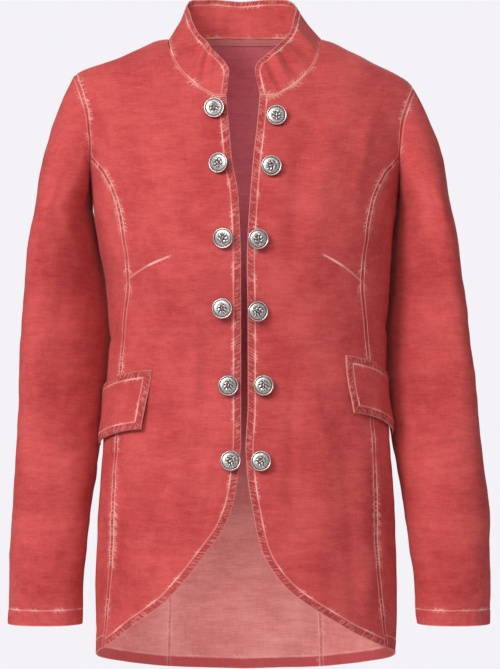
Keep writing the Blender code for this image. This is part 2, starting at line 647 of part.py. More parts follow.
def build_tape(grids, directions, material):
    """The tape inside the back neck: a strip just under the neck seam."""
    strips = []
    for side in SIDES:
        back, _, shares, neck = grids["back_" + side]
        on_neck = shares >= neck + 0.04
        top = back[-1][on_neck]
        below = back[-2][on_neck]
        drop = np.linalg.norm(top - below, axis=1, keepdims=True)
        run = (below - top) / drop
        normal = directions["back_" + side][-2][on_neck]
        lift = normal * (CLOTH + SEAM_GAP + 0.35)
        first = top + run * 2.4 - lift
        second = top + run * (2.4 + TAPE_HEIGHT) - lift
        strips.append((np.array([first, second]), normal))
    (right, right_normal), (left, left_normal) = strips
    face = np.concatenate([right, left[:, ::-1][:, 1:]], axis=1)
    normal = np.concatenate([right_normal, left_normal[::-1][1:]])
    return make_wall("neck_tape", face, face - normal[None] * TAPE_THICK, material)


def build_button(name, side, row, material):
    """A domed shank button, turned on its own axis and set on the front."""
    place = dict(zip(BUTTON_COLUMNS, row))
    turn = turn_at(side, place["half"], place["height"])
    foot = body_point(side, turn, place["height"])
    normal = surface_normals(side, turn, place["height"])
    spin = math.radians(place["turn"]) * SIDES[side]
    nod = math.radians(place["nod"])
    facing = unit(0.3 * normal + np.array([math.sin(spin), -math.cos(spin), math.sin(nod)]))
    across = unit(np.cross(facing, np.array([0.0, 0.0, 1.0])))
    upward = np.cross(across, facing)
    flat = unit(across - normal * np.dot(across, normal))
    points, faces = [], []
    rings = BUTTON_PROFILE[1:-1]
    points.append(foot + normal * BUTTON_PROFILE[0][1])
    for radius, level in rings:
        axis, right, up = facing, across, upward
        if level < 1.0:
            axis, right, up = normal, flat, np.cross(flat, normal)
        for k in range(BUTTON_SIDES):
            angle = 2 * math.pi * k / BUTTON_SIDES
            points.append(foot + axis * level + radius * (right * math.cos(angle) + up * math.sin(angle)))
    points.append(foot + facing * BUTTON_PROFILE[-1][1])
    last = len(points) - 1
    for k in range(BUTTON_SIDES):
        n = (k + 1) % BUTTON_SIDES
        faces.append((0, 1 + n, 1 + k))
        for r in range(len(rings) - 1):
            low, high = 1 + r * BUTTON_SIDES, 1 + (r + 1) * BUTTON_SIDES
            faces.append((low + k, low + n, high + n, high + k))
        top = 1 + (len(rings) - 1) * BUTTON_SIDES
        faces.append((top + k, top + n, last))
    return make_object(name, points, faces, material)


def make_material(name):
    """A plain material with the part's colour, roughness and metallic value."""
    red, green, blue, roughness, metallic = COLOURS[name]
    material = bpy.data.materials.new(name)
    material.use_nodes = True
    shader = material.node_tree.nodes["Principled BSDF"]
    shader.inputs["Base Color"].default_value = (red, green, blue, 1)
    shader.inputs["Roughness"].default_value = roughness
    shader.inputs["Metallic"].default_value = metallic
    return material


def main():
    for thing in list(bpy.data.objects):
        bpy.data.objects.remove(thing, do_unlink=True)
    cotton, pewter, tape = make_material("cotton"), make_material("pewter"), make_material("tape")
    grids = build_panels()
    directions, necks, armholes = shape_seams(grids)
    for side in SIDES:
        for panel in ("front_", "side_"):
            outer = grids[panel + side][0]
            make_wall(panel + side, outer, outer - directions[panel + side] * CLOTH, cotton)
        build_sleeve(side, armholes[side], cotton)
        build_flap(side, cotton)
        for number, row in enumerate(BUTTONS[side], start=1):
            build_button(f"button_{side}_{number}", side, row, pewter)
    right, left = grids["back_right"][0], grids["back_left"][0]
    outer = np.concatenate([right, left[:, ::-1][:, 1:]], axis=1)
    normal = np.concatenate([directions["back_right"], directions["back_left"][:, ::-1][:, 1:]], axis=1)
    make_wall("back", outer, outer - normal * CLOTH, cotton)
    build_collar(necks, cotton)
    build_tape(grids, directions, tape)


main()
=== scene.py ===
import json
import math

import bpy
import numpy as np
from mathutils import Matrix, Vector

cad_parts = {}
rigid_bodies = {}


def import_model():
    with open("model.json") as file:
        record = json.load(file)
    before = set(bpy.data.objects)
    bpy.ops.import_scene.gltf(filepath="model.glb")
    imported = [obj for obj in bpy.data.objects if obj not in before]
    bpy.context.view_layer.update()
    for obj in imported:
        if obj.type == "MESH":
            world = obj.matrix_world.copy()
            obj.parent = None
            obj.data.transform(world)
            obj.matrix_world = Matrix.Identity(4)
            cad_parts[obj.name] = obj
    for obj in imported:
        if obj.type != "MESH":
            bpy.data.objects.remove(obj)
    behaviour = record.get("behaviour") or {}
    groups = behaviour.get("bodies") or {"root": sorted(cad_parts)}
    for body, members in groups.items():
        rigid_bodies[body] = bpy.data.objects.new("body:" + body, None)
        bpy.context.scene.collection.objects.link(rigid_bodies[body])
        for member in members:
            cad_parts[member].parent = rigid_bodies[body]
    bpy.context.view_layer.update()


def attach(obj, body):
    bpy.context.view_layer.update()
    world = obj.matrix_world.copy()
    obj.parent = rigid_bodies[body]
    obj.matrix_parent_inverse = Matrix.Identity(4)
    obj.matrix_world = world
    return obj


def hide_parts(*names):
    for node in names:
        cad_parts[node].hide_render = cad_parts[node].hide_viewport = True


# The dressed jacket: each piece of cloth is a thin shell on the form of its solid, with the
# folds, seams and topstitching that the solid leaves out. Lengths are in millimetres while a
# shape is worked out and in metres in the scene. +Z is up, -Y the front, -X the wearer's right.

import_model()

METRES = 0.001            # one millimetre
CLOTH = 1.3               # one layer of cotton
HEM_CLOTH = 0.8           # what a turned edge adds on the inside
FACING = 48.0             # width inside a front edge that shows the right side of the cloth
BODY_ROUND = 140.0        # radius that turns an angle round the body into a width of cloth
SLEEVE_ROUND = 46.0       # the same for a sleeve
SQUARENESS = 2.3          # exponent of the body's cross section, 2 is an ellipse
CROWN_DEPTH = 110.0       # height over which the body rounds over to the shoulder seam
SIDES = {"right": -1, "left": 1}

# Body: half width on each side, depth of the front and of the back, at each height
BODY = {
    "height": (-730, -642, -547, -487, -441, -380, -347, -308, -270, -220, -190, -160, -140, -119,
               -91, -61, -33, 14, 60),
    "right": (169.5, 168.5, 166.5, 163, 159.5, 156, 154, 153.5, 156.5, 166, 171, 174.5, 179, 185.5,
              196, 207, 214, 217, 219),
    "left": (170, 170.5, 169.5, 167, 163.5, 158.5, 159.5, 161.5, 163, 166, 169, 173.5, 178.5, 185.5,
             196, 207, 214, 217, 219),
    "front": (110, 109, 106, 104.5, 103, 102, 104, 110, 119, 126, 123, 118, 113, 106,
              96, 86, 79, 74, 70),
    "back": (124, 120, 112, 101, 91, 79, 74, 76, 82, 92, 97, 100, 101, 101,
             99, 95, 90, 82, 80),
}

# Shoulder line: height of the seam at each distance from the centre, on each side
SHOULDER = {
    "half": (87, 100, 122, 145, 167, 183, 191, 215),
    "right": (7, 4.5, -5, -13, -21.5, -29, -33.5, -48),
    "left": (7, 2.5, -8, -19.5, -29.5, -39.5, -48, -68),
}
# Inside the neck the shoulder line runs on, lower for the front and higher for the back
CROWN_FRONT = {"half": (0, 59, 74, 87), "height": (22, 14, 10, 7)}
CROWN_BACK = {"half": (0, 30, 60, 80, 87), "height": (60, 54, 38, 17, 7)}
NECK_HALF = 87.0          # half width of the neck at the shoulder seam
SHOULDER_HALF = 191.0     # half width at the shoulder point

# Neck seam: height at each distance from the centre
NECK_FRONT = {"half": (0, 20, 30, 44, 59, 74, 83, 87),
              "height": (-61.5, -61.5, -61.5, -56, -45, -28, -9, 7)}
NECK_BACK = {"half": (0, 30, 60, 80, 87), "height": (14, 14, 12, 9, 7)}

# Armhole: half width at each share of the way from the shoulder point down to the underarm
ARMHOLE = {"share": (0, 0.12, 0.23, 0.32, 0.46, 0.68, 0.83, 0.93, 1),
           "half": (191, 185.5, 181, 177.5, 174.5, 173, 173.5, 173.3, 173.5)}
UNDERARM = -160.0
PRINCESS_TOP = -150.0     # from here up the princess seam swings over to the armhole
BACK_SEAM_TOP = -130.0    # the same for the seam in the back
JOIN_FRONT = -125.0       # where the front princess seam meets the armhole
JOIN_BACK = -105.0        # where the seam in the back meets the armhole

# Seams of the side panel: distance from the centre at each height
PRINCESS = {
    "height": (-676, -640, -580, -520, -445, -364, -331, -300, -273, -256, -220, -192, -166, -150),
    "half": (157, 154, 149.5, 147, 143, 138, 136, 132.5, 129.6, 130, 134.5, 139, 146, 154.5),
}
BACK_SEAM = {"height": (-730, -640, -500, -345, -250, -190, -150, -130),
             "half": (90, 89, 85, 82, 98, 120, 145, 158)}

# Upright part of the front edges: distance from the centre at each height
FRONT_EDGE = {
    "height": (-448, -400, -300, -247, -212, -168, -135, -88, -61.5, 20),
    "right": (4.1, 4.1, 4.1, 4.1, 5, 7.7, 13.8, 18, 20.4, 24),
    "left": (0.6, 3.2, 3, 2.2, 3.3, 6.2, 8.8, 14, 16.2, 20),
}
# Cutaway part of the front edges, from the upright edge round to the side panel
CUTAWAY = {
    "right": {"half": (4.1, 7, 11.8, 24.2, 42.9, 66, 89.5, 121, 147, 157),
              "height": (-448, -478, -508, -540.5, -566.5, -596.5, -621.5, -645, -667, -675)},
    "left": {"half": (0.6, 2.6, 9.3, 18.1, 33.5, 53, 82, 115, 145, 157),
             "height": (-448, -480, -523, -561.5, -590, -611, -631.5, -651.5, -668, -675)},
}
# Hem of the side panels and back: height at each turn, in degrees from the centre front
HEM = {"turn": (60, 66.7, 90, 106, 122, 137, 156, 180),
       "height": (-673, -675, -687, -694.5, -700.7, -706.5, -712, -715)}

# Folds of the body: each runs from one turn (degrees) and height to another
FOLD_COLUMNS = ("side", "from_turn", "from_height", "to_turn", "to_height", "spread", "rise")
BODY_FOLDS = (
    ("left", 18, -70, 15, -262, 9, -3.2),
    ("left", 27, -80, 24, -235, 10, 2.0),
    ("right", 21, -75, 17, -250, 11, -1.8),
    ("left", 40, -420, 44, -700, 12, -3.0),
    ("left", 29, -450, 25, -660, 11, 2.2),
    ("right", 37, -430, 41, -690, 12, -3.2),
    ("right", 25, -460, 20, -620, 11, 2.0),
    ("left", 62, -300, 108, -330, 9, -2.2),
    ("right", 66, -318, 112, -345, 9, -2.4),
    ("right", 128, -322, 172, -338, 10, -3.2),
    ("left", 130, -346, 174, -330, 10, -3.0),
    ("right", 150, -400, 147, -740, 14, -4.5),
    ("left", 152, -410, 147, -740, 14, -4.2),
    ("left", 168, -430, 166, -740, 12, 3.0),
    ("right", 136, -130, 158, -250, 12, -2.6),
    ("left", 137, -135, 160, -255, 12, -2.4),
)
# Finer creases, which the solids leave out
BODY_CREASES = (
    ("right", 11, -285, 17, -480, 11, -3.0),
    ("right", 17, -300, 18, -470, 7, 2.6),
    ("right", 8, -455, 14, -560, 5, -2.0),
    ("left", 17, -380, 14, -520, 6, -2.1),
    ("left", 24, -350, 30, -470, 7, 1.8),
    ("right", 9, -60, 20, -120, 4, -1.8),
    ("left", 12, -78, 24, -112, 4, -2.4),
    ("right", 40, -60, 46, -190, 8, 2.1),
    ("left", 42, -65, 44, -200, 8, 2.1),
    ("right", 55, -470, 58, -640, 8, -2.4),
    ("left", 57, -460, 60, -640, 8, -2.4),
    ("right", 75, -440, 80, -670, 8, 2.4),
    ("left", 78, -430, 82, -670, 8, 2.2),
    ("left", 118, -300, 165, -312, 6, -2.2),
    ("right", 120, -352, 160, -362, 6, -2.2),
    ("right", 168, -350, 166, -520, 8, 2.2),
    ("left", 140, -420, 136, -700, 9, 2.4),
    ("right", 137, -430, 134, -700, 9, 2.5),
    ("right", 172, -180, 169, -290, 8, -2.0),
    ("left", 172, -190, 168, -285, 8, -2.0),
    ("left", 120, -120, 150, -178, 7, -2.2),
    ("right", 122, -115, 148, -170, 7, -2.2),
)

# Sleeve: outer and inner edge on each side, half depth and middle of the depth, at each height.
# The inner side lies behind the outer one by twice the skew, so it hangs behind the body's edge
SLEEVE = {
    "height": (-650, -594, -547, -500, -440, -390, -333, -279, -219, -185),
    "outer_right": (265, 265.3, 263.5, 260.5, 256.3, 254, 251, 247.5, 242, 236.5),
    "inner_right": (183, 181, 177, 171.5, 162.5, 156, 151.5, 154.5, 165.5, 173),
    "outer_left": (275, 276, 275.7, 272, 265.5, 259.5, 253, 246.5, 238, 232),
    "inner_left": (194, 188.5, 183, 177, 166, 158.5, 157.5, 161, 166, 172),
    "half_depth": (40, 42, 44, 46, 49, 52, 56, 60, 65, 68),
    "middle": (-24, -18, -10, -3, 5, 9, 10, 9, 5, 3),
    "skew": (0, 0, 2, 8, 20, 32, 38, 40, 38, 28),
}
CUFF = -650.0
CAP_BASE = -185.0         # height where the sleeve cap ends and level sections begin
CAP_BULGE = 8.0           # how far the cap swells out over a straight run
SLEEVE_SQUARENESS = 2.2
# Folds of the sleeves: turn in degrees from the outer side, round by the front
SLEEVE_FOLDS = (
    ("right", 35, -345, 120, -372, 9, -3.2),
    ("right", 60, -402, 140, -385, 9, -2.6),
    ("right", 20, -300, 100, -318, 9, -2.2),
    ("right", 200, -350, 300, -368, 10, -3.4),
    ("right", 65, -150, 100, -250, 9, -2.6),
    ("left", 30, -352, 115, -330, 9, -3.0),
    ("left", 50, -395, 135, -412, 9, -3.0),
    ("left", 25, -300, 95, -282, 9, -2.0),
    ("left", 205, -372, 305, -352, 10, -3.4),
    ("left", 60, -155, 95, -255, 9, -2.6),
    ("right", 40, -520, 110, -540, 9, -1.8),
    ("left", 45, -545, 120, -528, 9, -1.8),
)
SLEEVE_CREASES = (
    ("right", 55, -325, 125, -338, 5, 2.0),
    ("right", 70, -360, 150, -352, 5, 1.8),
    ("right", 45, -425, 120, -440, 6, 2.1),
    ("right", 80, -460, 150, -452, 6, -2.0),
    ("right", 30, -560, 90, -590, 7, -1.8),
    ("left", 50, -318, 120, -305, 5, 2.0),
    ("left", 60, -375, 130, -368, 5, 1.8),
    ("left", 45, -435, 125, -452, 6, 2.1),
    ("left", 40, -480, 110, -472, 6, -2.0),
    ("left", 50, -590, 110, -570, 7, -1.8),
    ("right", 210, -390, 300, -402, 6, -2.4),
    ("left", 215, -330, 300, -318, 6, -2.4),
    ("right", 85, -190, 80, -300, 7, 2.1),
    ("left", 82, -200, 78, -310, 7, 2.1),
)

# Collar: how its stand rises from the neck seam, at each share of the way to the centre back
COLLAR = {
    "share": (0, 0.10, 0.17, 0.27, 0.38, 0.53, 0.76, 1),
    "inward": (8, 13, 19, 25, 26, 26, 10, 0),
    "backward": (19, 19, 17, 20, 18, 8, -6, -8),
    "up": (45, 45, 44, 38, 35, 35, 45, 42),
    "leftward": (-1.7, -2.0, -1.4, -1.2, -2.0, -3.0, -6.4, -6.4),
}
COLLAR_ROUND = 26.0       # radius of the collar's front corners
COLLAR_THICK = 2.0        # two layers

# Pocket flaps: upper front corner, drop of the upper edge towards the side, and sizes
FLAPS = {
    "right": {"front_half": 102.4, "top": -364.5, "drop": 21.0, "height": 66.0, "slant": 5.5},
    "left": {"front_half": 110.5, "top": -348.5, "drop": 27.0, "height": 64.0, "slant": 5.0},
}
FLAP_SIDE_TURN = 92.0     # turn in degrees where the flap ends, just past the side
FLAP_THICK = 2.4
FLAP_LIFT = 0.8           # from the panel to the flap's underside
FLAP_CURL = 7.0           # how far its lower front corner stands off

# Buttons: distance from the centre, height, turn about the vertical and nod, in degrees
BUTTON_COLUMNS = ("half", "height", "turn", "nod")
BUTTONS = {
    "right": ((33.3, -76.5, 6, 2), (26.3, -138, 30, 0), (22.5, -220, 14, -4),
              (24.5, -297.5, 4, 8), (18.7, -382, -6, 4), (16.2, -465, -6, 9)),
    "left": ((34.4, -85, 4, 3), (28.5, -141, 5, 0), (13.8, -221.5, 10, 2),
             (13.0, -300.5, 14, 6), (20, -382, 4, 5), (17.3, -465, 2, 6)),
}

# Darts: where each starts at the princess seam and where it ends on the chest
DARTS = {"right": ((128.5, -264.0), (82.9, -240.5)),
         "left": ((128.5, -267.4), (86.7, -238.8))}

# Width in millimetres between an edge and its topstitching, on each kind of piece
FRONT_BAND, HEM_BAND, CUFF_BAND, FLAP_BAND, COLLAR_BAND = 7.4, 12.5, 16.5, 7.4, 5.0
SEAM_STITCH = 2.5         # from a seam to the topstitching on each side of it
NECK_SHIFT = 1.5          # how much nearer to the neck seam its ridges lie
STITCH_PITCH, STITCH_LENGTH, STITCH_RADIUS = 3.3, 2.5, 0.22

FAR = 60.0                # a distance to a seam is not followed further than this
TRACK_APART = 977.0       # added to the run of each further seam, longer than any of them


# Button: each step over the top is an inset and a rise; then the height of its worn relief at each
# distance from the middle, below which the metal is black
BUTTON_NECK, BUTTON_RIM = 9.4, 11.2       # radius of the disc's lower and upper face
BUTTON_STEPS = ((0.12, 1.0), (0.30, 0.60), (0.35, 0.15), (0.35, -0.15), (0.30, -0.45),
                (0.25, -0.45), (0.6, 0.05), (0.5, 0.30), (1.3, 0.28), (1.8, 0.24), (1.9, 0.12),
                (1.6, 0.05))
CREST = {"radius": (0, 3, 6, 7.6, 8.4, 9.4, 10, 11.2),
         "height": (9.8, 9.6, 9.0, 8.5, 8.3, 8.4, 8.5, 7.8)}
DOME_FALL = 0.012         # how the dome falls with the square of the distance from its middle
# Sprig on the button: middle of each leaf, its half length and half width, and its turn in degrees
LEAF_COLUMNS = ("x", "y", "length", "width", "turn")
LEAVES = (
    (0.3, -4.3, 2.6, 0.6, 82), (0.1, 0.2, 3.0, 0.7, 94), (-2.7, -2.6, 2.2, 1.0, 150),
    (2.8, -2.2, 2.3, 1.0, 28), (-3.5, 1.0, 2.4, 1.1, 132), (3.3, 1.6, 2.4, 1.1, 44),
    (-1.8, 4.4, 2.0, 1.0, 112), (2.2, 4.6, 1.9, 0.9, 66), (0.2, 4.9, 1.5, 0.7, 90),
    (-5.2, -1.6, 1.3, 0.8, 170), (5.2, -1.0, 1.3, 0.8, 8), (-0.2, -6.4, 1.8, 0.7, 4),
)
PEBBLES = 34

# Lights: place and aim in metres, size and power. The last three are small soft lights
# inside the jacket, which brighten the wrong side of the back
LIGHTS = (
    ("key", (-1.35, -2.00, 0.80), (-0.05, 0, -0.15), 0.9, 38.0),
    ("front", (-0.3, -2.5, 0.9), (0, 0, -0.10), 1.4, 21.0),
    ("back", (0.6, 2.6, 1.4), (0, 0, -0.35), 1.6, 30.0),
    ("inside neck", (0, -0.05, -0.13), (0, 0.2, -0.11), 0.10, 0.10),
    ("inside skirt right", (-0.07, -0.05, -0.66), (-0.05, 0.2, -0.66), 0.10, 0.10),
    ("inside skirt left", (0.07, -0.05, -0.66), (0.05, 0.2, -0.66), 0.10, 0.10),
)
CAMERA_PLACE, CAMERA_LENS = (0.00565, -3.8, -0.3257), 181.0


def smooth(xs, ys, at):
    """A smooth curve through the points of a table, with no overshoot between them."""
    xs = np.asarray(xs, float)
    ys = np.asarray(ys, float)
    at = np.clip(np.asarray(at, float), xs[0], xs[-1])
    step = np.diff(xs)
    slope = np.diff(ys) / step
    tangent = np.empty_like(ys)
    tangent[0] = slope[0]
    tangent[-1] = slope[-1]
    same = slope[:-1] * slope[1:] > 0
    mean = 2 * slope[:-1] * slope[1:] / np.where(same, slope[:-1] + slope[1:], 1.0)
    tangent[1:-1] = np.where(same, mean, 0.0)
    i = np.clip(np.searchsorted(xs, at, side="right") - 1, 0, len(xs) - 2)
    t = (at - xs[i]) / step[i]
    rise = (3 - 2 * t) * t * t
    return (ys[i] * (1 - rise) + ys[i + 1] * rise
            + step[i] * t * (1 - t) * (tangent[i] * (1 - t) - tangent[i + 1] * t))


def unit(vectors):
    """Vectors of length one."""
    return vectors / np.maximum(np.linalg.norm(vectors, axis=-1, keepdims=True), 1e-9)


def ease(t):
    """0 to 1 with soft ends."""
    t = np.clip(t, 0.0, 1.0)
    return t * t * (3 - 2 * t)


def bump(distance, spread):
    """1 at no distance, falling softly to 0."""
    return np.exp(-(distance / spread) ** 2)


def fold_relief(folds, side, turn, height, radius):
    """How far the folds of one side lift the cloth, over a surface of about this radius."""
    relief = np.zeros(np.broadcast(turn, height).shape)
    across = turn * radius
    for row in folds:
        fold = dict(zip(FOLD_COLUMNS, row))
        if fold["side"] != side:
            continue
        start = np.array([math.radians(fold["from_turn"]) * radius, fold["from_height"]])
        run = np.array([math.radians(fold["to_turn"]) * radius, fold["to_height"]]) - start
        length = np.linalg.norm(run)
        along = ((across - start[0]) * run[0] + (height - start[1]) * run[1]) / length
        aside = ((across - start[0]) * run[1] - (height - start[1]) * run[0]) / length
        fade = np.sin(math.pi * np.clip(along / length, 0, 1)) ** 0.8
        relief += fold["rise"] * fade * bump(aside, fold["spread"])
    return relief


def sway(points, seed, shortest, longest, rise):
    """Soft unevenness of hanging cloth: a sum of smooth waves in space."""
    draw = np.random.default_rng(seed)
    total = np.zeros(points.shape[:-1])
    count = 16
    for _ in range(count):
        span = draw.uniform(shortest, longest)
        way = unit(draw.normal(size=3))
        total += span / longest * np.sin(points @ way * 2 * math.pi / span + draw.uniform(0, 6.28))
    return rise * total / math.sqrt(count)


def half_width(side, height):
    """Half width of the body."""
    return smooth(BODY["height"], BODY[side], height)


def turn_at(side, half, height):
    """Turn from the centre front, or from the centre back, at a distance from the centre."""
    share = np.clip(half / half_width(side, height), 0.0, 1.0)
    return np.arcsin(share ** (SQUARENESS / 2))


def crown_height(side, half, in_front):
    """Height of the line over which the body rounds, at a distance from the centre."""
    shoulder = smooth(SHOULDER["half"], SHOULDER[side], half)
    front = smooth(CROWN_FRONT["half"], CROWN_FRONT["height"], half)
    back = smooth(CROWN_BACK["half"], CROWN_BACK["height"], half)
    return np.where(half > NECK_HALF, shoulder, np.where(in_front, front, back))


def body_point(side, turn, height):
    """A point of the body surface; the turn goes from 0 at the front to pi at the back."""
    turn, height = np.broadcast_arrays(np.asarray(turn, float), np.asarray(height, float))
    power = 2 / SQUARENESS
    in_front = turn < math.pi / 2
    half = half_width(side, height) * np.sign(np.sin(turn)) * np.abs(np.sin(turn)) ** power
    depth = np.where(in_front, smooth(BODY["height"], BODY["front"], height),
                     smooth(BODY["height"], BODY["back"], height))
    below = np.clip((crown_height(side, np.abs(half), in_front) - height) / CROWN_DEPTH, 0, 1)
    round_over = np.sqrt(1 - (1 - below) ** 2)
    reach = depth * np.abs(np.cos(turn)) ** power * round_over
    relief = fold_relief(BODY_FOLDS, side, turn, height, BODY_ROUND)
    x = half + relief * np.sin(turn)
    y = np.where(in_front, -reach, reach) - relief * np.cos(turn)
    return np.stack([SIDES[side] * x, y, height + 0 * x], axis=-1)


def surface_normals(side, turn, height):
    """Outward normals of the body surface itself."""
    across = body_point(side, turn + 0.004, height) - body_point(side, turn - 0.004, height)
    upward = body_point(side, turn, height + 0.6) - body_point(side, turn, height - 0.6)
    return unit(np.cross(across, upward)) * SIDES[side]


def armhole_turn(side, height):
    """Turn of the armhole's front branch; the back branch is its mirror."""
    top = smooth(SHOULDER["half"], SHOULDER[side], SHOULDER_HALF)
    share = np.clip((top - height) / (top - UNDERARM), 0, 1)
    half = smooth(ARMHOLE["share"], ARMHOLE["half"], share)
    turn = turn_at(side, half, height)
    return turn + (math.pi / 2 - turn) * ease((share - 0.8) / 0.2)


def princess_turn(side, height):
    """Turn of the front panel's side seam: the princess seam, then the armhole above it."""
    join = turn_at(side, smooth(PRINCESS["height"], PRINCESS["half"], PRINCESS_TOP),
                   PRINCESS_TOP)
    seam = turn_at(side, smooth(PRINCESS["height"], PRINCESS["half"], height), height)
    top = armhole_turn(side, JOIN_FRONT)
    lift = ease((height - PRINCESS_TOP) / (JOIN_FRONT - PRINCESS_TOP))
    seam = np.where(height > PRINCESS_TOP, join + (top - join) * lift, seam)
    return np.where(height > JOIN_FRONT, armhole_turn(side, height), seam)


def back_seam_turn(side, height):
    """Turn of the back panel's side seam, then of the armhole above it."""
    seam = math.pi - turn_at(side, smooth(BACK_SEAM["height"], BACK_SEAM["half"], height), height)
    join = math.pi - turn_at(side, smooth(BACK_SEAM["height"], BACK_SEAM["half"],
                                          BACK_SEAM_TOP), BACK_SEAM_TOP)
    top = math.pi - armhole_turn(side, JOIN_BACK)
    lift = ease((height - BACK_SEAM_TOP) / (JOIN_BACK - BACK_SEAM_TOP))
    seam = np.where(height > BACK_SEAM_TOP, join + (top - join) * lift, seam)
    return np.where(height > JOIN_BACK, math.pi - armhole_turn(side, height), seam)


def edge_turn(side, height):
    """Turn of the upright front edge."""
    return turn_at(side, smooth(FRONT_EDGE["height"], FRONT_EDGE[side], height), height)


def hem_height(turn):
    """Height of the hem."""
    return smooth(np.radians(HEM["turn"]), HEM["height"], turn)


# Steps in millimetres from an edge, close together so that a seam's ridge has a shape
NEAR_EDGE = np.array([0.0, 0.5, 1.0, 1.6, 2.3, 3.1, 4.0, 5.0, 6.0, 7.0, 8.0, 9.0, 10.2, 11.6, 13.0,
                      14.6, 16.4, 18.6])
NEAR_SEAM = np.array([0.0, 0.5, 1.0, 1.6, 2.2, 2.8, 3.5, 4.4, 5.6, 7.2, 9.4])
LOW_ROWS, HIGH_ROWS = 150, 46


def rows_between(low, middle, high):
    """Heights of the rows: closest at the hem, then closer again towards the shoulder."""
    even = np.linspace(0, 1, LOW_ROWS + 1)[1:]
    start = low + NEAR_EDGE[-1]
    below = np.vstack([low[None, :] + NEAR_EDGE[:, None],
                       start[None, :] + (middle - start)[None, :] * even[:, None]])
    high_share = np.sin(np.linspace(0, 1, HIGH_ROWS + 1) * math.pi / 2)[1:]
    above = middle + (high[None, :] - middle) * high_share[:, None]
    return np.vstack([below, above])


def spread_shares(width, step, both_ends):
    """Shares of a width in columns, closer together at the seams."""
    start = NEAR_SEAM / width
    end = 1 - start[::-1] if both_ends else np.array([1.0])
    count = max(2, int((end[0] - start[-1]) * width / step))
    return np.concatenate([start, np.linspace(start[-1], end[0], count + 1)[1:-1], end])


def top_curve(side, neck, count=400):
    """Front-view curve of the shoulder seam and then the neck seam, from the shoulder in."""
    half_shoulder = np.linspace(SHOULDER_HALF, NECK_HALF, count)
    half_neck = np.linspace(NECK_HALF, 0, count)[1:]
    half = np.concatenate([half_shoulder, half_neck])
    height = np.concatenate([smooth(SHOULDER["half"], SHOULDER[side], half_shoulder),
                             smooth(neck["half"], neck["height"], half_neck)])
    return half, height


def column_shares(share_at_neck, shares):
    """Column shares with one of them moved to the corner of shoulder seam and neck seam."""
    shares = np.array(shares)
    shares[np.argmin(np.abs(shares - share_at_neck))] = share_at_neck
    return shares


def front_grid(side):
    """Turns and heights of a front: columns from the side seam to the front edge."""
    half, height = CUTAWAY[side]["half"], CUTAWAY[side]["height"]
    track = np.concatenate([[0], np.cumsum(np.hypot(np.diff(half), np.diff(height)))])
    fine = np.linspace(0, track[-1], 400)
    cut_half, cut_height = smooth(track, half, fine), smooth(track, height, fine)
    seam, edge = princess_turn(side, cut_height), edge_turn(side, cut_height)
    cut_share = np.clip((seam - turn_at(side, cut_half, cut_height)) / (seam - edge), 0, 1)[::-1]
    top_half, top_height = top_curve(side, NECK_FRONT)
    seam, edge = princess_turn(side, top_height), edge_turn(side, top_height)
    top_share = (seam - turn_at(side, top_half, top_height)) / (seam - edge)
    at_neck = np.interp(0, -(top_half - NECK_HALF), top_share)
    picks = spread_shares(track[-1], 3.9, False)
    shares = np.interp(picks, np.linspace(0, 1, 400), cut_share)
    shares[0], shares[-1] = 0.0, 1.0
    shares = column_shares(at_neck, shares)
    low = np.interp(shares, cut_share, cut_height[::-1])
    high = np.interp(shares, top_share, top_height)
    heights = rows_between(low, np.full(len(shares), JOIN_FRONT), high)
    start = princess_turn(side, heights)
    turns = start + (edge_turn(side, heights) - start) * shares[None, :]
    return turns, heights, shares, at_neck


def back_half_grid(side):
    """Turns and heights of one half of the back: columns from the side seam to the centre."""
    top_half, top_height = top_curve(side, NECK_BACK)
    seam = back_seam_turn(side, top_height)
    turn = math.pi - turn_at(side, top_half, top_height)
    top_share = (turn - seam) / (math.pi - seam)
    at_neck = np.interp(0, -(top_half - NECK_HALF), top_share)
    shares = column_shares(at_neck, spread_shares(120.0, 3.2, False))
    seam_low = back_seam_turn(side, -700.0)
    low = hem_height(seam_low + (math.pi - seam_low) * shares)
    high = np.interp(shares, top_share, top_height)
    heights = rows_between(low, np.full(len(shares), JOIN_BACK), high)
    start = back_seam_turn(side, heights)
    turns = start + (math.pi - start) * shares[None, :]
    return turns, heights, shares, at_neck


def side_grid(side):
    """Turns and heights of a side panel: columns from the princess seam to the back seam."""
    front = np.linspace(JOIN_FRONT, UNDERARM, 200)
    back = np.linspace(UNDERARM, JOIN_BACK, 200)[1:]
    hole_height = np.concatenate([front, back])
    hole_turn = np.concatenate([armhole_turn(side, front), math.pi - armhole_turn(side, back)])
    hole = body_point(side, hole_turn, hole_height)
    track = np.concatenate([[0], np.cumsum(np.linalg.norm(np.diff(hole, axis=0), axis=1))])
    shares = spread_shares(125.0, 3.4, True)
    end_height = np.interp(shares * track[-1], track, hole_height)
    end_turn = np.interp(shares * track[-1], track, hole_turn)
    low_front, low_back = princess_turn(side, -676.0), back_seam_turn(side, -700.0)
    low = hem_height(low_front + (low_back - low_front) * shares)
    even = np.linspace(0, 1, LOW_ROWS + 1)[1:]
    start = low + NEAR_EDGE[-1]
    heights = np.vstack([low[None, :] + NEAR_EDGE[:, None],
                         start[None, :] + (end_height - start)[None, :] * even[:, None]])
    start = np.minimum(princess_turn(side, np.minimum(heights, JOIN_FRONT)), math.pi / 2)
    stop = back_seam_turn(side, np.minimum(heights, JOIN_BACK))
    turns = start + (stop - start) * shares[None, :]
    blend = ease((heights - (end_height[None, :] - 70.0)) / 70.0)
    turns = turns + (end_turn - turns[-1])[None, :] * blend
    return turns, heights


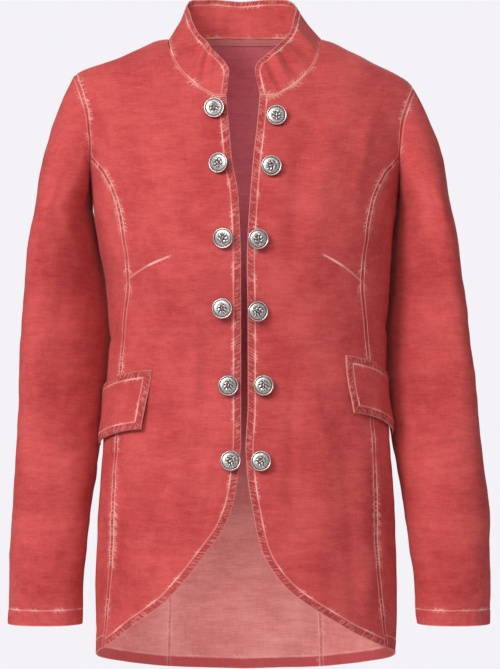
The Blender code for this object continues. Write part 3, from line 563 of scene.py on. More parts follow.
def along_track(points, line):
    """Distance of each point to a line of points, and how far along the line it is nearest."""
    flat = points.reshape(-1, 3)
    step = np.diff(line, axis=0)
    length = np.maximum(np.linalg.norm(step, axis=1), 1e-6)
    start = np.concatenate([[0], np.cumsum(length)])
    nearest = np.empty(len(flat), int)
    for first in range(0, len(flat), 4000):
        block = flat[first:first + 4000]
        gap = (block ** 2).sum(1)[:, None] - 2 * block @ line.T + (line ** 2).sum(1)[None, :]
        nearest[first:first + 4000] = gap.argmin(1)
    best = np.full(len(flat), 1e9)
    run = np.zeros(len(flat))
    for shift in (-1, 0):
        k = np.clip(nearest + shift, 0, len(step) - 1)
        t = np.clip(((flat - line[k]) * step[k]).sum(1) / length[k] ** 2, 0, 1)
        gap = np.linalg.norm(flat - line[k] - step[k] * t[:, None], axis=1)
        closer = gap < best
        best[closer] = gap[closer]
        run[closer] = (start[k] + t * length[k])[closer]
    return best.reshape(points.shape[:-1]), run.reshape(points.shape[:-1])


def nearest_track(points, tracks):
    """Distance, run and a third value of the nearest of several lines, for each point. A line's
    distances may be read as larger by a shift, which draws its ridge nearer to it."""
    shape = points.shape[:-1]
    result = np.stack([np.full(shape, FAR), np.zeros(shape), np.ones(shape)], axis=-1)
    offset = 0.0
    for line, value, *shift in tracks:
        distance, run = along_track(points, np.asarray(line))
        distance = distance + sum(shift)
        closer = distance < result[..., 0]
        result[closer] = np.stack([distance, run + offset, value + 0 * run], axis=-1)[closer]
        offset += TRACK_APART
    return result


def seam_relief(edge, seam, dart):
    """Ridges, grooves and puckers of edges, seams and darts, in millimetres."""
    relief = -0.38 * bump(seam[..., 0], 0.8) + 0.30 * bump(seam[..., 0] - SEAM_STITCH, 1.0)
    width = edge[..., 2]
    relief += 0.42 * bump(edge[..., 0] - width - 1.1, 1.1) - 0.20 * bump(edge[..., 0] - width, 0.6)
    relief -= 0.55 * np.clip(1 - edge[..., 0] / 0.9, 0, 1) ** 2
    in_band = ease(edge[..., 0] / 1.5) * (1 - ease((edge[..., 0] - width + 1.5) / 1.5))
    run = edge[..., 1]
    wave = np.sin(run / 1.55) + np.sin(run / 2.13 + 1.1) + np.sin(run / 2.9 + 2.3)
    relief += 0.16 * wave * in_band
    ripple = np.sin(run / 6.3 + 0.7) + np.sin(run / 8.9) + np.sin(run / 13.7 + 1.9)
    relief += 0.22 * ripple * bump(edge[..., 0], 14.0)
    run = seam[..., 1]
    ripple = np.sin(run / 5.1) + np.sin(run / 7.3 + 1.3) + np.sin(run / 11.9 + 0.4)
    relief += 0.16 * ripple * bump(seam[..., 0] - 4.0, 6.0)
    pinch = 0.6 * bump(dart[..., 0] - 0.4, 1.3) - 0.5 * bump(dart[..., 0], 5.0)
    return relief + pinch * dart[..., 2]


def wall_thickness(edge):
    """One layer of cloth, more in a turned edge, and thin right at the edge so that it is round."""
    band = 1 - ease((edge[..., 0] - edge[..., 2] - 1.0) / 1.5)
    thick = CLOTH + HEM_CLOTH * band
    return thick * (0.35 + 0.65 * ease(edge[..., 0] / 1.2 + 0.05))


def set_attribute(mesh, name, values):
    """Keeps three numbers for each point of a mesh, for its material to read."""
    held = mesh.attributes.new(name, "FLOAT_VECTOR", "POINT")
    held.data.foreach_set("vector", np.ascontiguousarray(values, np.float32).ravel())


def make_mesh(name, points, faces, materials, slots=None, sharp=40.0):
    """A mesh object, in metres, that moves with the part's only body."""
    points = np.asarray(points, float) * METRES
    mesh = bpy.data.meshes.new(name)
    mesh.from_pydata(points.tolist(), [], faces)
    for material in materials:
        mesh.materials.append(material)
    if slots is not None:
        mesh.polygons.foreach_set("material_index", np.asarray(slots, np.int32))
    mesh.shade_smooth()
    mesh.set_sharp_from_angle(angle=math.radians(sharp))
    mesh.update()
    thing = bpy.data.objects.new(name, mesh)
    bpy.context.scene.collection.objects.link(thing)
    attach(thing, "root")
    return thing


def make_shell(name, outer, inner, materials, fields, closed=False, facing=None):
    """A closed wall of cloth between an outer and an inner grid of points. Its inside takes the
    second material, apart from where a facing is marked."""
    rows, columns = outer.shape[:2]
    points = np.concatenate([outer.reshape(-1, 3), inner.reshape(-1, 3)])
    second = rows * columns
    spans = columns if closed else columns - 1
    row, column = np.meshgrid(np.arange(rows - 1), np.arange(spans), indexing="ij")
    row, column = row.ravel(), column.ravel()
    after = (column + 1) % columns
    a, b = row * columns + column, row * columns + after
    c, d = b + columns, a + columns
    front = np.stack([a, b, c, d], axis=1)
    back = front[:, ::-1] + second
    span = np.arange(spans)
    next_span = (span + 1) % columns
    top = (rows - 1) * columns
    rims = [np.stack([span + second, next_span + second, next_span, span], axis=1),
            np.stack([top + span, top + next_span, top + next_span + second,
                      top + span + second], axis=1)]
    if not closed:
        level = np.arange(rows - 1) * columns
        last = level + columns - 1
        rims.append(np.stack([level, level + columns, level + columns + second,
                              level + second], axis=1))
        rims.append(np.stack([last + second, last + columns + second, last + columns, last], axis=1))
    faces = np.concatenate([front, back] + rims)
    p = points[faces]
    volume = np.einsum("ij,ij->i", p[:, 0], np.cross(p[:, 1], p[:, 2])).sum()
    volume += np.einsum("ij,ij->i", p[:, 0], np.cross(p[:, 2], p[:, 3])).sum()
    if volume < 0:
        faces = faces[:, ::-1]
    slots = np.zeros(len(faces), int)
    slots[len(front):2 * len(front)] = 1
    if facing is not None:
        near = facing.reshape(-1)[front].min(axis=1) > 0.5
        slots[len(front):2 * len(front)][near] = 0
    thing = make_mesh(name, points, faces.tolist(), materials, slots)
    for field, values in fields.items():
        flat = values.reshape(-1, 3)
        set_attribute(thing.data, field, np.concatenate([flat, flat]))
    return thing


def stitches(name, rows, material):
    """Rows of thread stitches, each a small pointed rod, as one piece."""
    points, faces = [], []
    ring = 5
    for positions, normals, run in rows:
        total = run[-1]
        at = np.arange(STITCH_PITCH, total - STITCH_PITCH, STITCH_PITCH)
        for start in at:
            ends = [np.array([np.interp(start + s, run, positions[:, i]) for i in range(3)])
                    for s in (-STITCH_LENGTH / 2, STITCH_LENGTH / 2)]
            up = unit(np.array([np.interp(start, run, normals[:, i]) for i in range(3)]))
            way = ends[1] - ends[0]
            size = np.linalg.norm(way)
            if not 0.5 * STITCH_LENGTH < size < 1.5 * STITCH_LENGTH:
                continue
            way = way / size
            aside = unit(np.cross(way, up))
            first = len(points)
            points.append(ends[0] - up * 0.12)
            for share in (0.22, 0.78):
                middle = ends[0] + way * size * share + up * 0.10
                for k in range(ring):
                    angle = 2 * math.pi * k / ring
                    points.append(middle + STITCH_RADIUS * (aside * math.cos(angle)
                                                            + up * math.sin(angle)))
            points.append(ends[1] - up * 0.12)
            for k in range(ring):
                n = (k + 1) % ring
                low, high = first + 1, first + 1 + ring
                faces.append((first, low + n, low + k))
                faces.append((low + k, low + n, high + n, high + k))
                faces.append((high + k, high + n, high + ring))
    points = np.array(points)
    tips = points[np.array(faces[0])]
    outward = np.dot(np.cross(tips[1] - tips[0], tips[2] - tips[0]),
                     tips.mean(0) - points[:2 * ring + 2].mean(0))
    if outward < 0:
        faces = [face[::-1] for face in faces]
    thing = make_mesh(name, points, faces, [material], sharp=80.0)
    return thing


def level_line(points, normals, field, level):
    """The line on a grid where the distance to a track is this much, in order along the track."""
    found, found_normals, runs = [], [], []
    distance, run = field[..., 0] - level, field[..., 1]
    for axis in (0, 1):
        p, n, d, r = (np.moveaxis(v, axis, 0) for v in (points, normals, distance, run))
        crossing = (d[:-1] * d[1:] < 0) & (np.abs(r[:-1] - r[1:]) < 12)
        share = (d[:-1] / np.where(d[:-1] == d[1:], 1, d[:-1] - d[1:]))[crossing][:, None]
        found.append(p[:-1][crossing] * (1 - share) + p[1:][crossing] * share)
        found_normals.append(n[:-1][crossing] * (1 - share) + n[1:][crossing] * share)
        runs.append((r[:-1][crossing] * (1 - share[:, 0]) + r[1:][crossing] * share[:, 0]))
    found, found_normals = np.concatenate(found), np.concatenate(found_normals)
    runs = np.concatenate(runs)
    order = np.argsort(runs)
    found, found_normals, runs = found[order], found_normals[order], runs[order]
    bins = np.floor(runs / 2.0).astype(int)
    _, first, count = np.unique(bins, return_index=True, return_counts=True)
    found = np.add.reduceat(found, first) / count[:, None]
    found_normals = np.add.reduceat(found_normals, first) / count[:, None]
    rows = []
    gap = np.linalg.norm(np.diff(found, axis=0), axis=1)
    breaks = np.concatenate([[0], np.where(gap > 9.0)[0] + 1, [len(found)]])
    for a, b in zip(breaks[:-1], breaks[1:]):
        if b - a < 4:
            continue
        length = np.concatenate([[0], np.cumsum(np.linalg.norm(np.diff(found[a:b], axis=0),
                                                               axis=1))])
        rows.append((found[a:b], found_normals[a:b], length))
    return rows


# Materials


def linear(colour):
    """An sRGB hex colour as linear red, green, blue and alpha."""
    parts = [int(colour[i:i + 2], 16) / 255 for i in (1, 3, 5)]
    return [c / 12.92 if c <= 0.04045 else ((c + 0.055) / 1.055) ** 2.4 for c in parts] + [1.0]


def add_node(tree, kind, inputs, output=0, **settings):
    """Adds a node with its settings, each input a value or a socket to link, and gives an output."""
    made = tree.nodes.new("ShaderNode" + kind)
    for name, value in settings.items():
        setattr(made, name, value)
    for key, value in inputs.items():
        if isinstance(value, bpy.types.NodeSocket):
            tree.links.new(value, made.inputs[key])
        else:
            made.inputs[key].default_value = value
    return made.outputs[output]


def streaks(tree, vector, across, down, detail, seed):
    """Uneven streaks of about these sizes in millimetres, between 0 and 1."""
    sized = add_node(tree, "VectorMath", {0: vector, 1: (1 / across, 1 / down, 1.0),
                                          2: (seed, seed * 0.37, seed * 0.11)},
                     operation="MULTIPLY_ADD")
    return add_node(tree, "TexNoise", {"Vector": sized, "Scale": 1.0, "Detail": detail,
                                       "Roughness": 0.55}, "Fac")


def add_up(tree, parts):
    """The sum of several values, each times its share."""
    total = 0.0
    for value, share in parts:
        total = add_node(tree, "Math", {0: value, 1: share, 2: total}, operation="MULTIPLY_ADD")
    return total


def worn_line(tree, field, centre, seed, half, reach):
    """A sewn line: a pale worn ridge beside it and clusters of short pale creases that cross it.
    Gives how pale it is, the dashes that its stitches pull up, and the distance to it."""
    distance, run = (add_node(tree, "SeparateXYZ", {0: field}, axis) for axis in "XY")
    off = add_node(tree, "Math", {0: distance, 1: centre}, operation="SUBTRACT")
    off = add_node(tree, "Math", {0: off}, operation="ABSOLUTE")
    slanted = add_node(tree, "Math", {0: distance, 1: 0.55, 2: run}, operation="MULTIPLY_ADD")
    track = add_node(tree, "CombineXYZ", {0: slanted, 1: distance})
    blotch = streaks(tree, track, 26.0, 90.0, 1.0, seed)
    dash = streaks(tree, track, 1.4, 8.0, 1.0, seed + 3.1)
    ridge = add_node(tree, "MapRange", {"Value": off, "From Min": half + 0.7, "From Max": half * 0.5},
                     interpolation_type="SMOOTHSTEP")
    strong = add_node(tree, "MapRange", {"Value": blotch, "From Min": 0.46, "From Max": 0.60},
                      interpolation_type="SMOOTHSTEP")
    uneven = add_node(tree, "Math", {0: strong, 1: 0.6, 2: 0.4}, operation="MULTIPLY_ADD")
    ridge = add_node(tree, "Math", {0: ridge, 1: uneven}, operation="MULTIPLY")
    dashes = add_node(tree, "MapRange", {"Value": dash, "From Min": 0.49, "From Max": 0.60},
                      interpolation_type="SMOOTHSTEP")
    near = add_node(tree, "MapRange", {"Value": off, "From Min": reach, "From Max": 0.8},
                    interpolation_type="SMOOTHSTEP")
    burst = dashes
    for share in (near, strong, 0.75):
        burst = add_node(tree, "Math", {0: burst, 1: share}, operation="MULTIPLY")
    pale = add_node(tree, "Math", {0: ridge, 1: burst}, operation="MAXIMUM")
    return pale, dashes, distance


def washed_cotton(name, dark, light, deep, rub, wear, upper):
    """Pigment-washed slub cotton. Matt and a little fuzzy, its colour lies uneven in short level
    streaks where thicker threads took more dye, and it is rubbed pale along each seam. Inside,
    the upper part is painted darker and nearer to mauve, a painted shade where less light reaches."""
    material = bpy.data.materials.new(name)
    material.use_nodes = True
    tree = material.node_tree
    shader = tree.nodes["Principled BSDF"]
    place, edge, seam, dart = (add_node(tree, "Attribute", {}, "Vector", attribute_name=name)
                               for name in ("weave", "edge", "seam", "dart"))

    # five patterns from broad clouds of dye to the finest grain, each with its share of the tone
    clouds = streaks(tree, place, 55.0, 70.0, 3.0, 0.0)
    slubs = streaks(tree, place, 7.5, 1.6, 2.0, 5.0)
    bands = streaks(tree, place, 26.0, 9.0, 2.0, 9.0)
    warp = streaks(tree, place, 1.8, 9.0, 2.0, 3.0)
    grain = streaks(tree, place, 1.2, 1.0, 2.0, 7.0)
    tone = add_up(tree, ((clouds, 0.65), (slubs, 0.32), (bands, 0.30), (warp, 0.16),
                         (grain, 0.18)))
    tone = add_node(tree, "MapRange", {"Value": tone, "From Min": 0.44, "From Max": 1.14},
                    interpolation_type="SMOOTHSTEP")
    colour = add_node(tree, "Mix", {"Factor": tone, "A": linear(dark), "B": linear(light)},
                      "Result", data_type="RGBA")
    # painted shade: inside, the upper part is darker and nearer to mauve, fading in upwards from a
    # height of -560 to -380 mm
    if upper:
        level = add_node(tree, "SeparateXYZ", {0: place}, "Y")
        high = add_node(tree, "MapRange", {"Value": level, "From Min": -560.0, "From Max": -380.0},
                        interpolation_type="SMOOTHSTEP")
        mauve = add_node(tree, "Mix", {"Factor": tone, "A": linear(upper[0]),
                                       "B": linear(upper[1])}, "Result", data_type="RGBA")
        colour = add_node(tree, "Mix", {"Factor": high, "A": colour, "B": mauve}, "Result",
                          data_type="RGBA")

    # a turned edge is darker, crossed by puckers, and a seam has dark dashes between its stitches
    band_width, seam_strength, dart_strength = (add_node(tree, "SeparateXYZ", {0: field}, "Z")
                                                for field in (edge, seam, dart))
    ridge_place = add_node(tree, "Math", {0: band_width, 1: 1.0}, operation="ADD")
    rim, rim_dash, rim_distance = worn_line(tree, edge, ridge_place, 1.7, 0.45, 4.0)
    join, join_dash, join_distance = worn_line(tree, seam, SEAM_STITCH, 4.3, 0.5, 7.0)
    tuck, _, _ = worn_line(tree, dart, 0.4, 8.9, 0.9, 2.0)
    join = add_node(tree, "Math", {0: join, 1: seam_strength}, operation="MULTIPLY")
    tuck = add_node(tree, "Math", {0: tuck, 1: dart_strength}, operation="MULTIPLY")
    within = add_node(tree, "Math", {0: band_width, 1: rim_distance}, operation="SUBTRACT")
    band = add_node(tree, "MapRange", {"Value": within, "From Min": 0.2, "From Max": 1.4},
                    interpolation_type="SMOOTHSTEP")
    # the narrow turned edges pucker, and the deep hems lie flat
    narrow = add_node(tree, "MapRange", {"Value": band_width, "From Min": HEM_BAND,
                                         "From Max": FRONT_BAND, "To Min": 0.12})
    puckered = add_node(tree, "Math", {0: band, 1: narrow}, operation="MULTIPLY")
    if upper:
        pucker = add_node(tree, "Math", {0: band, 1: 0.85}, operation="MULTIPLY")
    else:
        pucker = add_node(tree, "Math", {0: rim_dash, 1: -0.26, 2: 0.34}, operation="MULTIPLY_ADD")
        pucker = add_node(tree, "Math", {0: pucker, 1: puckered}, operation="MULTIPLY")
    gutter = add_node(tree, "MapRange", {"Value": join_distance, "From Min": SEAM_STITCH - 0.2,
                                         "From Max": SEAM_STITCH - 1.2},
                      interpolation_type="SMOOTHSTEP")
    # only a seam stitched down on both sides shows a dark line
    double = add_node(tree, "MapRange", {"Value": seam_strength, "From Min": 0.82,
                                         "From Max": 0.95})
    gutter = add_node(tree, "Math", {0: gutter, 1: double}, operation="MULTIPLY")
    dashed = add_node(tree, "Math", {0: join_dash, 1: -0.30, 2: 0.36}, operation="MULTIPLY_ADD")
    gutter = add_node(tree, "Math", {0: gutter, 1: dashed}, operation="MULTIPLY")
    dull = add_node(tree, "Math", {0: pucker, 1: gutter}, operation="MAXIMUM")
    colour = add_node(tree, "Mix", {"Factor": dull, "A": colour, "B": linear(deep)}, "Result",
                      data_type="RGBA")
    lip = add_node(tree, "MapRange", {"Value": rim_distance, "From Min": 1.3, "From Max": 0.2,
                                      "To Max": 0.5}, interpolation_type="SMOOTHSTEP")
    pulled = add_node(tree, "Math", {0: rim_dash, 1: puckered}, operation="MULTIPLY")
    pulled = add_node(tree, "Math", {0: pulled, 1: 0.26}, operation="MULTIPLY")
    pale = rim
    for worn in (lip, pulled, join, tuck):
        pale = add_node(tree, "Math", {0: pale, 1: worn}, operation="MAXIMUM")
    faded = add_node(tree, "Math", {0: pale, 1: wear}, operation="MULTIPLY")
    colour = add_node(tree, "Mix", {"Factor": faded, "A": colour, "B": linear(rub)}, "Result",
                      data_type="RGBA")
    tree.links.new(colour, shader.inputs["Base Color"])

    height = add_up(tree, ((slubs, 0.14), (grain, 0.10), (pale, 0.26), (dull, -0.45)))
    bumped = add_node(tree, "Bump", {"Strength": 0.9, "Distance": METRES, "Height": height})
    tree.links.new(bumped, shader.inputs["Normal"])
    for name, value in (("Roughness", 0.92), ("Specular IOR Level", 0.2), ("Sheen Weight", 0.12),
                        ("Sheen Roughness", 0.6), ("Sheen Tint", linear("#f0b0a8"))):
        shader.inputs[name].default_value = value
    return material


def plain_material(name, colour, roughness, metallic=0.0):
    """A material with one tone, before its pattern is added."""
    material = bpy.data.materials.new(name)
    material.use_nodes = True
    shader = material.node_tree.nodes["Principled BSDF"]
    shader.inputs["Base Color"].default_value = linear(colour)
    shader.inputs["Roughness"].default_value = roughness
    shader.inputs["Metallic"].default_value = metallic
    return material, material.node_tree, shader


def cotton_thread():
    """Three-ply cotton sewing thread, dyed with the cloth and rubbed paler on top of the seam."""
    material, tree, shader = plain_material("cotton sewing thread", "#d97a73", 0.85)
    place = add_node(tree, "TexCoord", {}, "Object")
    worn = add_node(tree, "TexNoise", {"Vector": place, "Scale": 45.0, "Detail": 1.0}, "Fac")
    worn = add_node(tree, "MapRange", {"Value": worn, "From Min": 0.4, "From Max": 0.62})
    colour = add_node(tree, "Mix", {"Factor": worn, "A": linear("#bd5550"), "B": linear("#eb9f97")},
                      "Result", data_type="RGBA")
    tree.links.new(colour, shader.inputs["Base Color"])
    shader.inputs["Sheen Weight"].default_value = 0.2
    return material


def herringbone_tape():
    """Narrow cotton herringbone tape: fine pale ribs on a darker red, slanting one way and then
    the other."""
    material, tree, shader = plain_material("cotton herringbone tape", "#b9474a", 0.9)
    place = add_node(tree, "Attribute", {}, "Vector", attribute_name="weave")
    run = add_node(tree, "SeparateXYZ", {0: place}, "X")
    level = add_node(tree, "SeparateXYZ", {0: place}, "Y")
    # ribs a millimetre apart, the finest that the render can show
    turned = add_node(tree, "Math", {0: level, 1: 3.5}, operation="PINGPONG")
    slant = add_node(tree, "Math", {0: run, 1: turned}, operation="ADD")
    slant = add_node(tree, "Math", {0: slant, 1: 2 * math.pi}, operation="MULTIPLY")
    rib = add_node(tree, "Math", {0: slant}, operation="SINE")
    share = add_node(tree, "Math", {0: rib, 1: 0.3, 2: 0.5}, operation="MULTIPLY_ADD")
    colour = add_node(tree, "Mix", {"Factor": share, "A": linear("#b04a4e"), "B": linear("#d88a86")},
                      "Result", data_type="RGBA")
    tree.links.new(colour, shader.inputs["Base Color"])
    bumped = add_node(tree, "Bump", {"Strength": 0.6, "Distance": 0.2 * METRES, "Height": rib})
    tree.links.new(bumped, shader.inputs["Normal"])
    return material


def antique_pewter():
    """Cast pewter, blackened and then rubbed bright: pale and satiny on the raised work, dull and
    dark in the hollows."""
    material, tree, shader = plain_material("antique cast pewter", "#d5d2ce", 0.36, 1.0)
    relief = add_node(tree, "Attribute", {}, "Vector", attribute_name="recess")
    recess = add_node(tree, "SeparateXYZ", {0: relief}, "X")
    place = add_node(tree, "TexCoord", {}, "Object")
    spots = add_node(tree, "TexNoise", {"Vector": place, "Scale": 420.0, "Detail": 3.0}, "Fac")
    black = add_node(tree, "Math", {0: spots, 1: 0.5, 2: recess}, operation="MULTIPLY_ADD")
    black = add_node(tree, "MapRange", {"Value": black, "From Min": 0.55, "From Max": 1.15},
                     interpolation_type="SMOOTHSTEP")
    colour = add_node(tree, "Mix", {"Factor": black, "A": linear("#e6e4e0"), "B": linear("#5b534f")},
                      "Result", data_type="RGBA")
    tree.links.new(colour, shader.inputs["Base Color"])
    rough = add_node(tree, "Math", {0: black, 1: 0.25, 2: 0.34}, operation="MULTIPLY_ADD")
    tree.links.new(rough, shader.inputs["Roughness"])
    bumped = add_node(tree, "Bump", {"Strength": 0.4, "Distance": 0.15 * METRES, "Height": spots})
    tree.links.new(bumped, shader.inputs["Normal"])
    return material


# Pieces of cloth


def no_dart(points):
    """The dart's values of a piece that has none."""
    return np.stack([FAR + 0 * points[..., 0], 0 * points[..., 0], 0 * points[..., 0]], axis=-1)


def panel_shape(side, turns, heights, edges, seams, dart=False):
    """Outer and inner points, normals and fields of a panel."""
    flat = body_point(side, turns, heights)
    normals = surface_normals(side, turns, heights)
    edge = nearest_track(flat, [(flat_line(line), width) for line, width in edges])
    seam = nearest_track(flat, [(flat_line(line), *rest) for line, *rest in seams])
    dart = dart_field(side, flat) if dart else no_dart(flat)
    relief = seam_relief(edge, seam, dart)
    relief += fold_relief(BODY_CREASES, side, turns, heights, BODY_ROUND)
    relief += sway(flat, 11, 34, 95, 0.9) + sway(flat, 12, 12, 30, 0.22)
    outer = flat + normals * relief[..., None]
    weave = np.stack([SIDES[side] * turns * BODY_ROUND, flat[..., 2], 0 * turns], axis=-1)
    fields = {"edge": edge, "seam": seam, "dart": dart, "weave": weave}
    return {"outer": outer, "normals": normals, "fields": fields}


def flat_line(line):
    """A line as points at even steps."""
    line = np.asarray(line, float)
    track = np.concatenate([[0], np.cumsum(np.linalg.norm(np.diff(line, axis=0), axis=1))])
    at = np.linspace(0, track[-1], max(3, int(track[-1] / 1.5)))
    return np.stack([np.interp(at, track, line[:, i]) for i in range(3)], axis=-1)


def dart_field(side, points):
    """Distance above a dart's line, how far along it, and 1 on it with soft ends."""
    start, end = np.array(DARTS[side])
    way = unit(end - start)
    length = np.linalg.norm(end - start)
    from_start = np.stack([np.abs(points[..., 0]), points[..., 2]], axis=-1) - start
    run = from_start @ way
    bow = 2.0 * np.sin(math.pi * np.clip(run / length, 0, 1))
    above = from_start @ np.array([way[1], -way[0]]) - bow
    strength = ease((run + 3) / 3) * (1 - ease((run - length + 4) / 8))
    return np.stack([above, run, strength], axis=-1)


def build_panels(cloth, lining):
    """The fronts, the sides and the back; gives the seam lines they end in."""
    raw = {}
    for side in SIDES:
        for part, grid, join_height in (("front_", front_grid, JOIN_FRONT),
                                        ("back_", back_half_grid, JOIN_BACK)):
            turns, heights, shares, at_neck = grid(side)
            flat = body_point(side, turns, heights)
            shoulder = shares <= at_neck + 1e-6
            neck = shares >= at_neck - 1e-6
            join = np.argmin(np.abs(heights[:, 0] - join_height))
            if part == "front_":
                edges = [(np.concatenate([flat[0], flat[1:, -1]]), FRONT_BAND)]
            else:
                edges = [(flat[0], HEM_BAND)]
            seams = [(flat[:join + 1, 0], 1.0), (flat[join:, 0], 0.8),
                     (flat[-1][shoulder], 0.5), (flat[-1][neck], 0.8, NECK_SHIFT)]
            made = panel_shape(side, turns, heights, edges, seams, dart=part == "front_")
            raw[part + side] = {"columns": len(shares), "shoulder": shoulder, "neck": neck,
                                "join": join, **made}

        turns, heights = side_grid(side)
        flat = body_point(side, turns, heights)
        edges = [(flat[0], HEM_BAND)]
        seams = [(flat[:, 0], 0.95), (flat[:, -1], 0.95), (flat[-1], 0.8)]
        raw["side_" + side] = panel_shape(side, turns, heights, edges, seams)

    necks, rings, panels = {}, {}, {}
    for side, sign in SIDES.items():
        front, back, panel = raw["front_" + side], raw["back_" + side], raw["side_" + side]
        ridge = unit(np.array([sign * 0.3, 0.0, 1.0]))
        for half, depth in ((front, -0.05), (back, 0.05)):
            half["outer"][-1, half["shoulder"], 1] = depth
            half["normals"][-1, half["shoulder"]] = ridge
        ring = np.concatenate([front["outer"][-1][front["neck"]][::-1],
                               back["outer"][-1][back["neck"]]])
        normal = np.concatenate([front["normals"][-2][front["neck"]][::-1],
                                 back["normals"][-2][back["neck"]]])
        necks[side] = {"points": ring, "normal": normal}
        rings[side] = np.concatenate([front["outer"][front["join"]:, 0][::-1],
                                      panel["outer"][-1][1:-1],
                                      back["outer"][back["join"]:, 0]])
    for name in ("front_right", "front_left", "side_right", "side_left"):
        outer, normals, fields = (raw[name][key] for key in ("outer", "normals", "fields"))
        inner = outer - normals * wall_thickness(fields["edge"])[..., None]
        facing = (fields["edge"][..., 0] < FACING) if name.startswith("front") else None
        thing = make_shell("cloth_" + name, outer, inner, [cloth, lining], fields,
                           facing=facing)
        panels[name] = (thing, outer, normals, fields)

    def both_halves(right, left):
        return np.concatenate([right, left[:, ::-1][:, 1:]], axis=1)

    right, left = raw["back_right"], raw["back_left"]
    outer = both_halves(right["outer"], left["outer"])
    normals = both_halves(right["normals"], left["normals"])
    # the left half's runs go on from the right half's over the centre of the hem and the neck,
    # and its side seam and armhole have runs of their own
    hem = right["fields"]["edge"][0, -1, 1]
    neck = right["fields"]["seam"][-1, -1, 1]
    run = left["fields"]["edge"][..., 1]
    left["fields"]["edge"][..., 1] = 2 * hem - run
    run = left["fields"]["seam"][..., 1]
    left["fields"]["seam"][..., 1] = np.where(run > 3 * TRACK_APART, 2 * neck - run,
                                              run + 5 * TRACK_APART)
    fields = {key: both_halves(values, left["fields"][key])
              for key, values in right["fields"].items()}
    fields["weave"][:, right["columns"]:, 0] -= 2 * math.pi * BODY_ROUND
    inner = outer - normals * wall_thickness(fields["edge"])[..., None]
    thing = make_shell("cloth_back", outer, inner, [cloth, lining], fields)
    panels["back"] = (thing, outer, normals, fields)
    return panels, necks, rings


def collar_rise(side_sign, share):
    """How the collar's stand rises from the neck seam, at a share of the way to the back."""
    inward = smooth(COLLAR["share"], COLLAR["inward"], share)
    backward = smooth(COLLAR["share"], COLLAR["backward"], share)
    up = smooth(COLLAR["share"], COLLAR["up"], share)
    leftward = smooth(COLLAR["share"], COLLAR["leftward"], share)
    return np.stack([leftward - side_sign * inward, backward, up], axis=-1)


def grid_normals(points, closed=False):
    """Unit normals of a grid of points."""
    if closed:
        across = np.roll(points, -1, axis=1) - np.roll(points, 1, axis=1)
    else:
        across = np.gradient(points, axis=1)
    return unit(np.cross(across, np.gradient(points, axis=0)))


def build_collar(necks, cloth):
    """The stand collar: two layers, on the ring of neck points of both sides."""
    halves = []
    for side, sign in SIDES.items():
        ring = necks[side]["points"]
        track = np.concatenate([[0], np.cumsum(np.linalg.norm(np.diff(ring, axis=0), axis=1))])
        halves.append((ring, collar_rise(sign, track / track[-1]), necks[side]["normal"]))
    points, rise, out = (np.concatenate([halves[0][i], halves[1][i][::-1][1:]]) for i in range(3))
    track = np.concatenate([[0], np.cumsum(np.linalg.norm(np.diff(points, axis=0), axis=1))])
    rounds = COLLAR_ROUND * (1 - np.cos(np.linspace(0, math.pi / 2, 26)))
    middle = np.linspace(COLLAR_ROUND, track[-1] - COLLAR_ROUND, 210)
    at = np.concatenate([rounds[:-1], middle, track[-1] - rounds[:-1][::-1]])
    base, lean, out = (np.stack([np.interp(at, track, v[:, i]) for i in range(3)], axis=-1)
                       for v in (points, rise, out))
    length = np.linalg.norm(lean, axis=1)
    from_end = np.minimum(np.minimum(at, track[-1] - at), COLLAR_ROUND)
    cut = COLLAR_ROUND - np.sqrt(COLLAR_ROUND ** 2 - (COLLAR_ROUND - from_end) ** 2)
    reach = (length - cut) / length
    shares = np.concatenate([np.linspace(0, 0.84, 24), np.linspace(0.84, 1, 12)[1:]])
    outer = np.array([base - unit(out) * 1.0] + [base + lean * (reach * share)[:, None]
                                                 for share in shares])
    normals = grid_normals(outer)
    if np.sum(normals[1:] * outer[1:] * np.array([1, 1, 0])) < 0:
        normals = -normals
    normals[0] = normals[1]
    body = outer[1:]
    edge = nearest_track(outer, [(flat_line(np.concatenate([body[:, 0], body[-1, 1:],
                                                           body[:-1, -1][::-1]])), COLLAR_BAND)])
    seam = nearest_track(outer, [(flat_line(base), 0.8, NECK_SHIFT)])
    dart = no_dart(outer)
    relief = seam_relief(edge, seam, dart)
    run = at[None, :] + 0 * outer[..., 0]
    rows = np.arange(len(outer))[:, None] / len(outer)
    # soft upright dents where the stand bends round the front
    for centre, spread, rise in ((22, 4, 1.3), (31, 5, -2.4), (42, 5, 1.8), (55, 6, -2.2),
                                 (70, 6, 1.6), (88, 8, -1.5), (track[-1] - 20, 4, 1.2),
                                 (track[-1] - 29, 5, -2.4), (track[-1] - 41, 5, 1.9),
                                 (track[-1] - 56, 6, -2.2), (track[-1] - 72, 7, 1.7),
                                 (track[-1] - 90, 8, -1.5),
                                 (track[-1] * 0.5 + 22, 9, -1.4), (track[-1] * 0.5 - 30, 9, -1.2)):
        relief += rise * bump(run - centre - 10 * rows, spread) * np.sin(math.pi * rows)
    relief += sway(outer, 21, 18, 50, 0.5)
    outer = outer + normals * relief[..., None]
    thick = COLLAR_THICK * (0.35 + 0.65 * ease(edge[..., 0] / 1.4 + 0.05))
    inner = outer - normals * thick[..., None]
    weave = np.stack([run, outer[..., 2], 40.0 + 0 * run], axis=-1)
    fields = {"edge": edge, "seam": seam, "dart": dart, "weave": weave}
    thing = make_shell("cloth_collar", outer, inner, [cloth, cloth], fields)
    return thing, outer, normals, fields


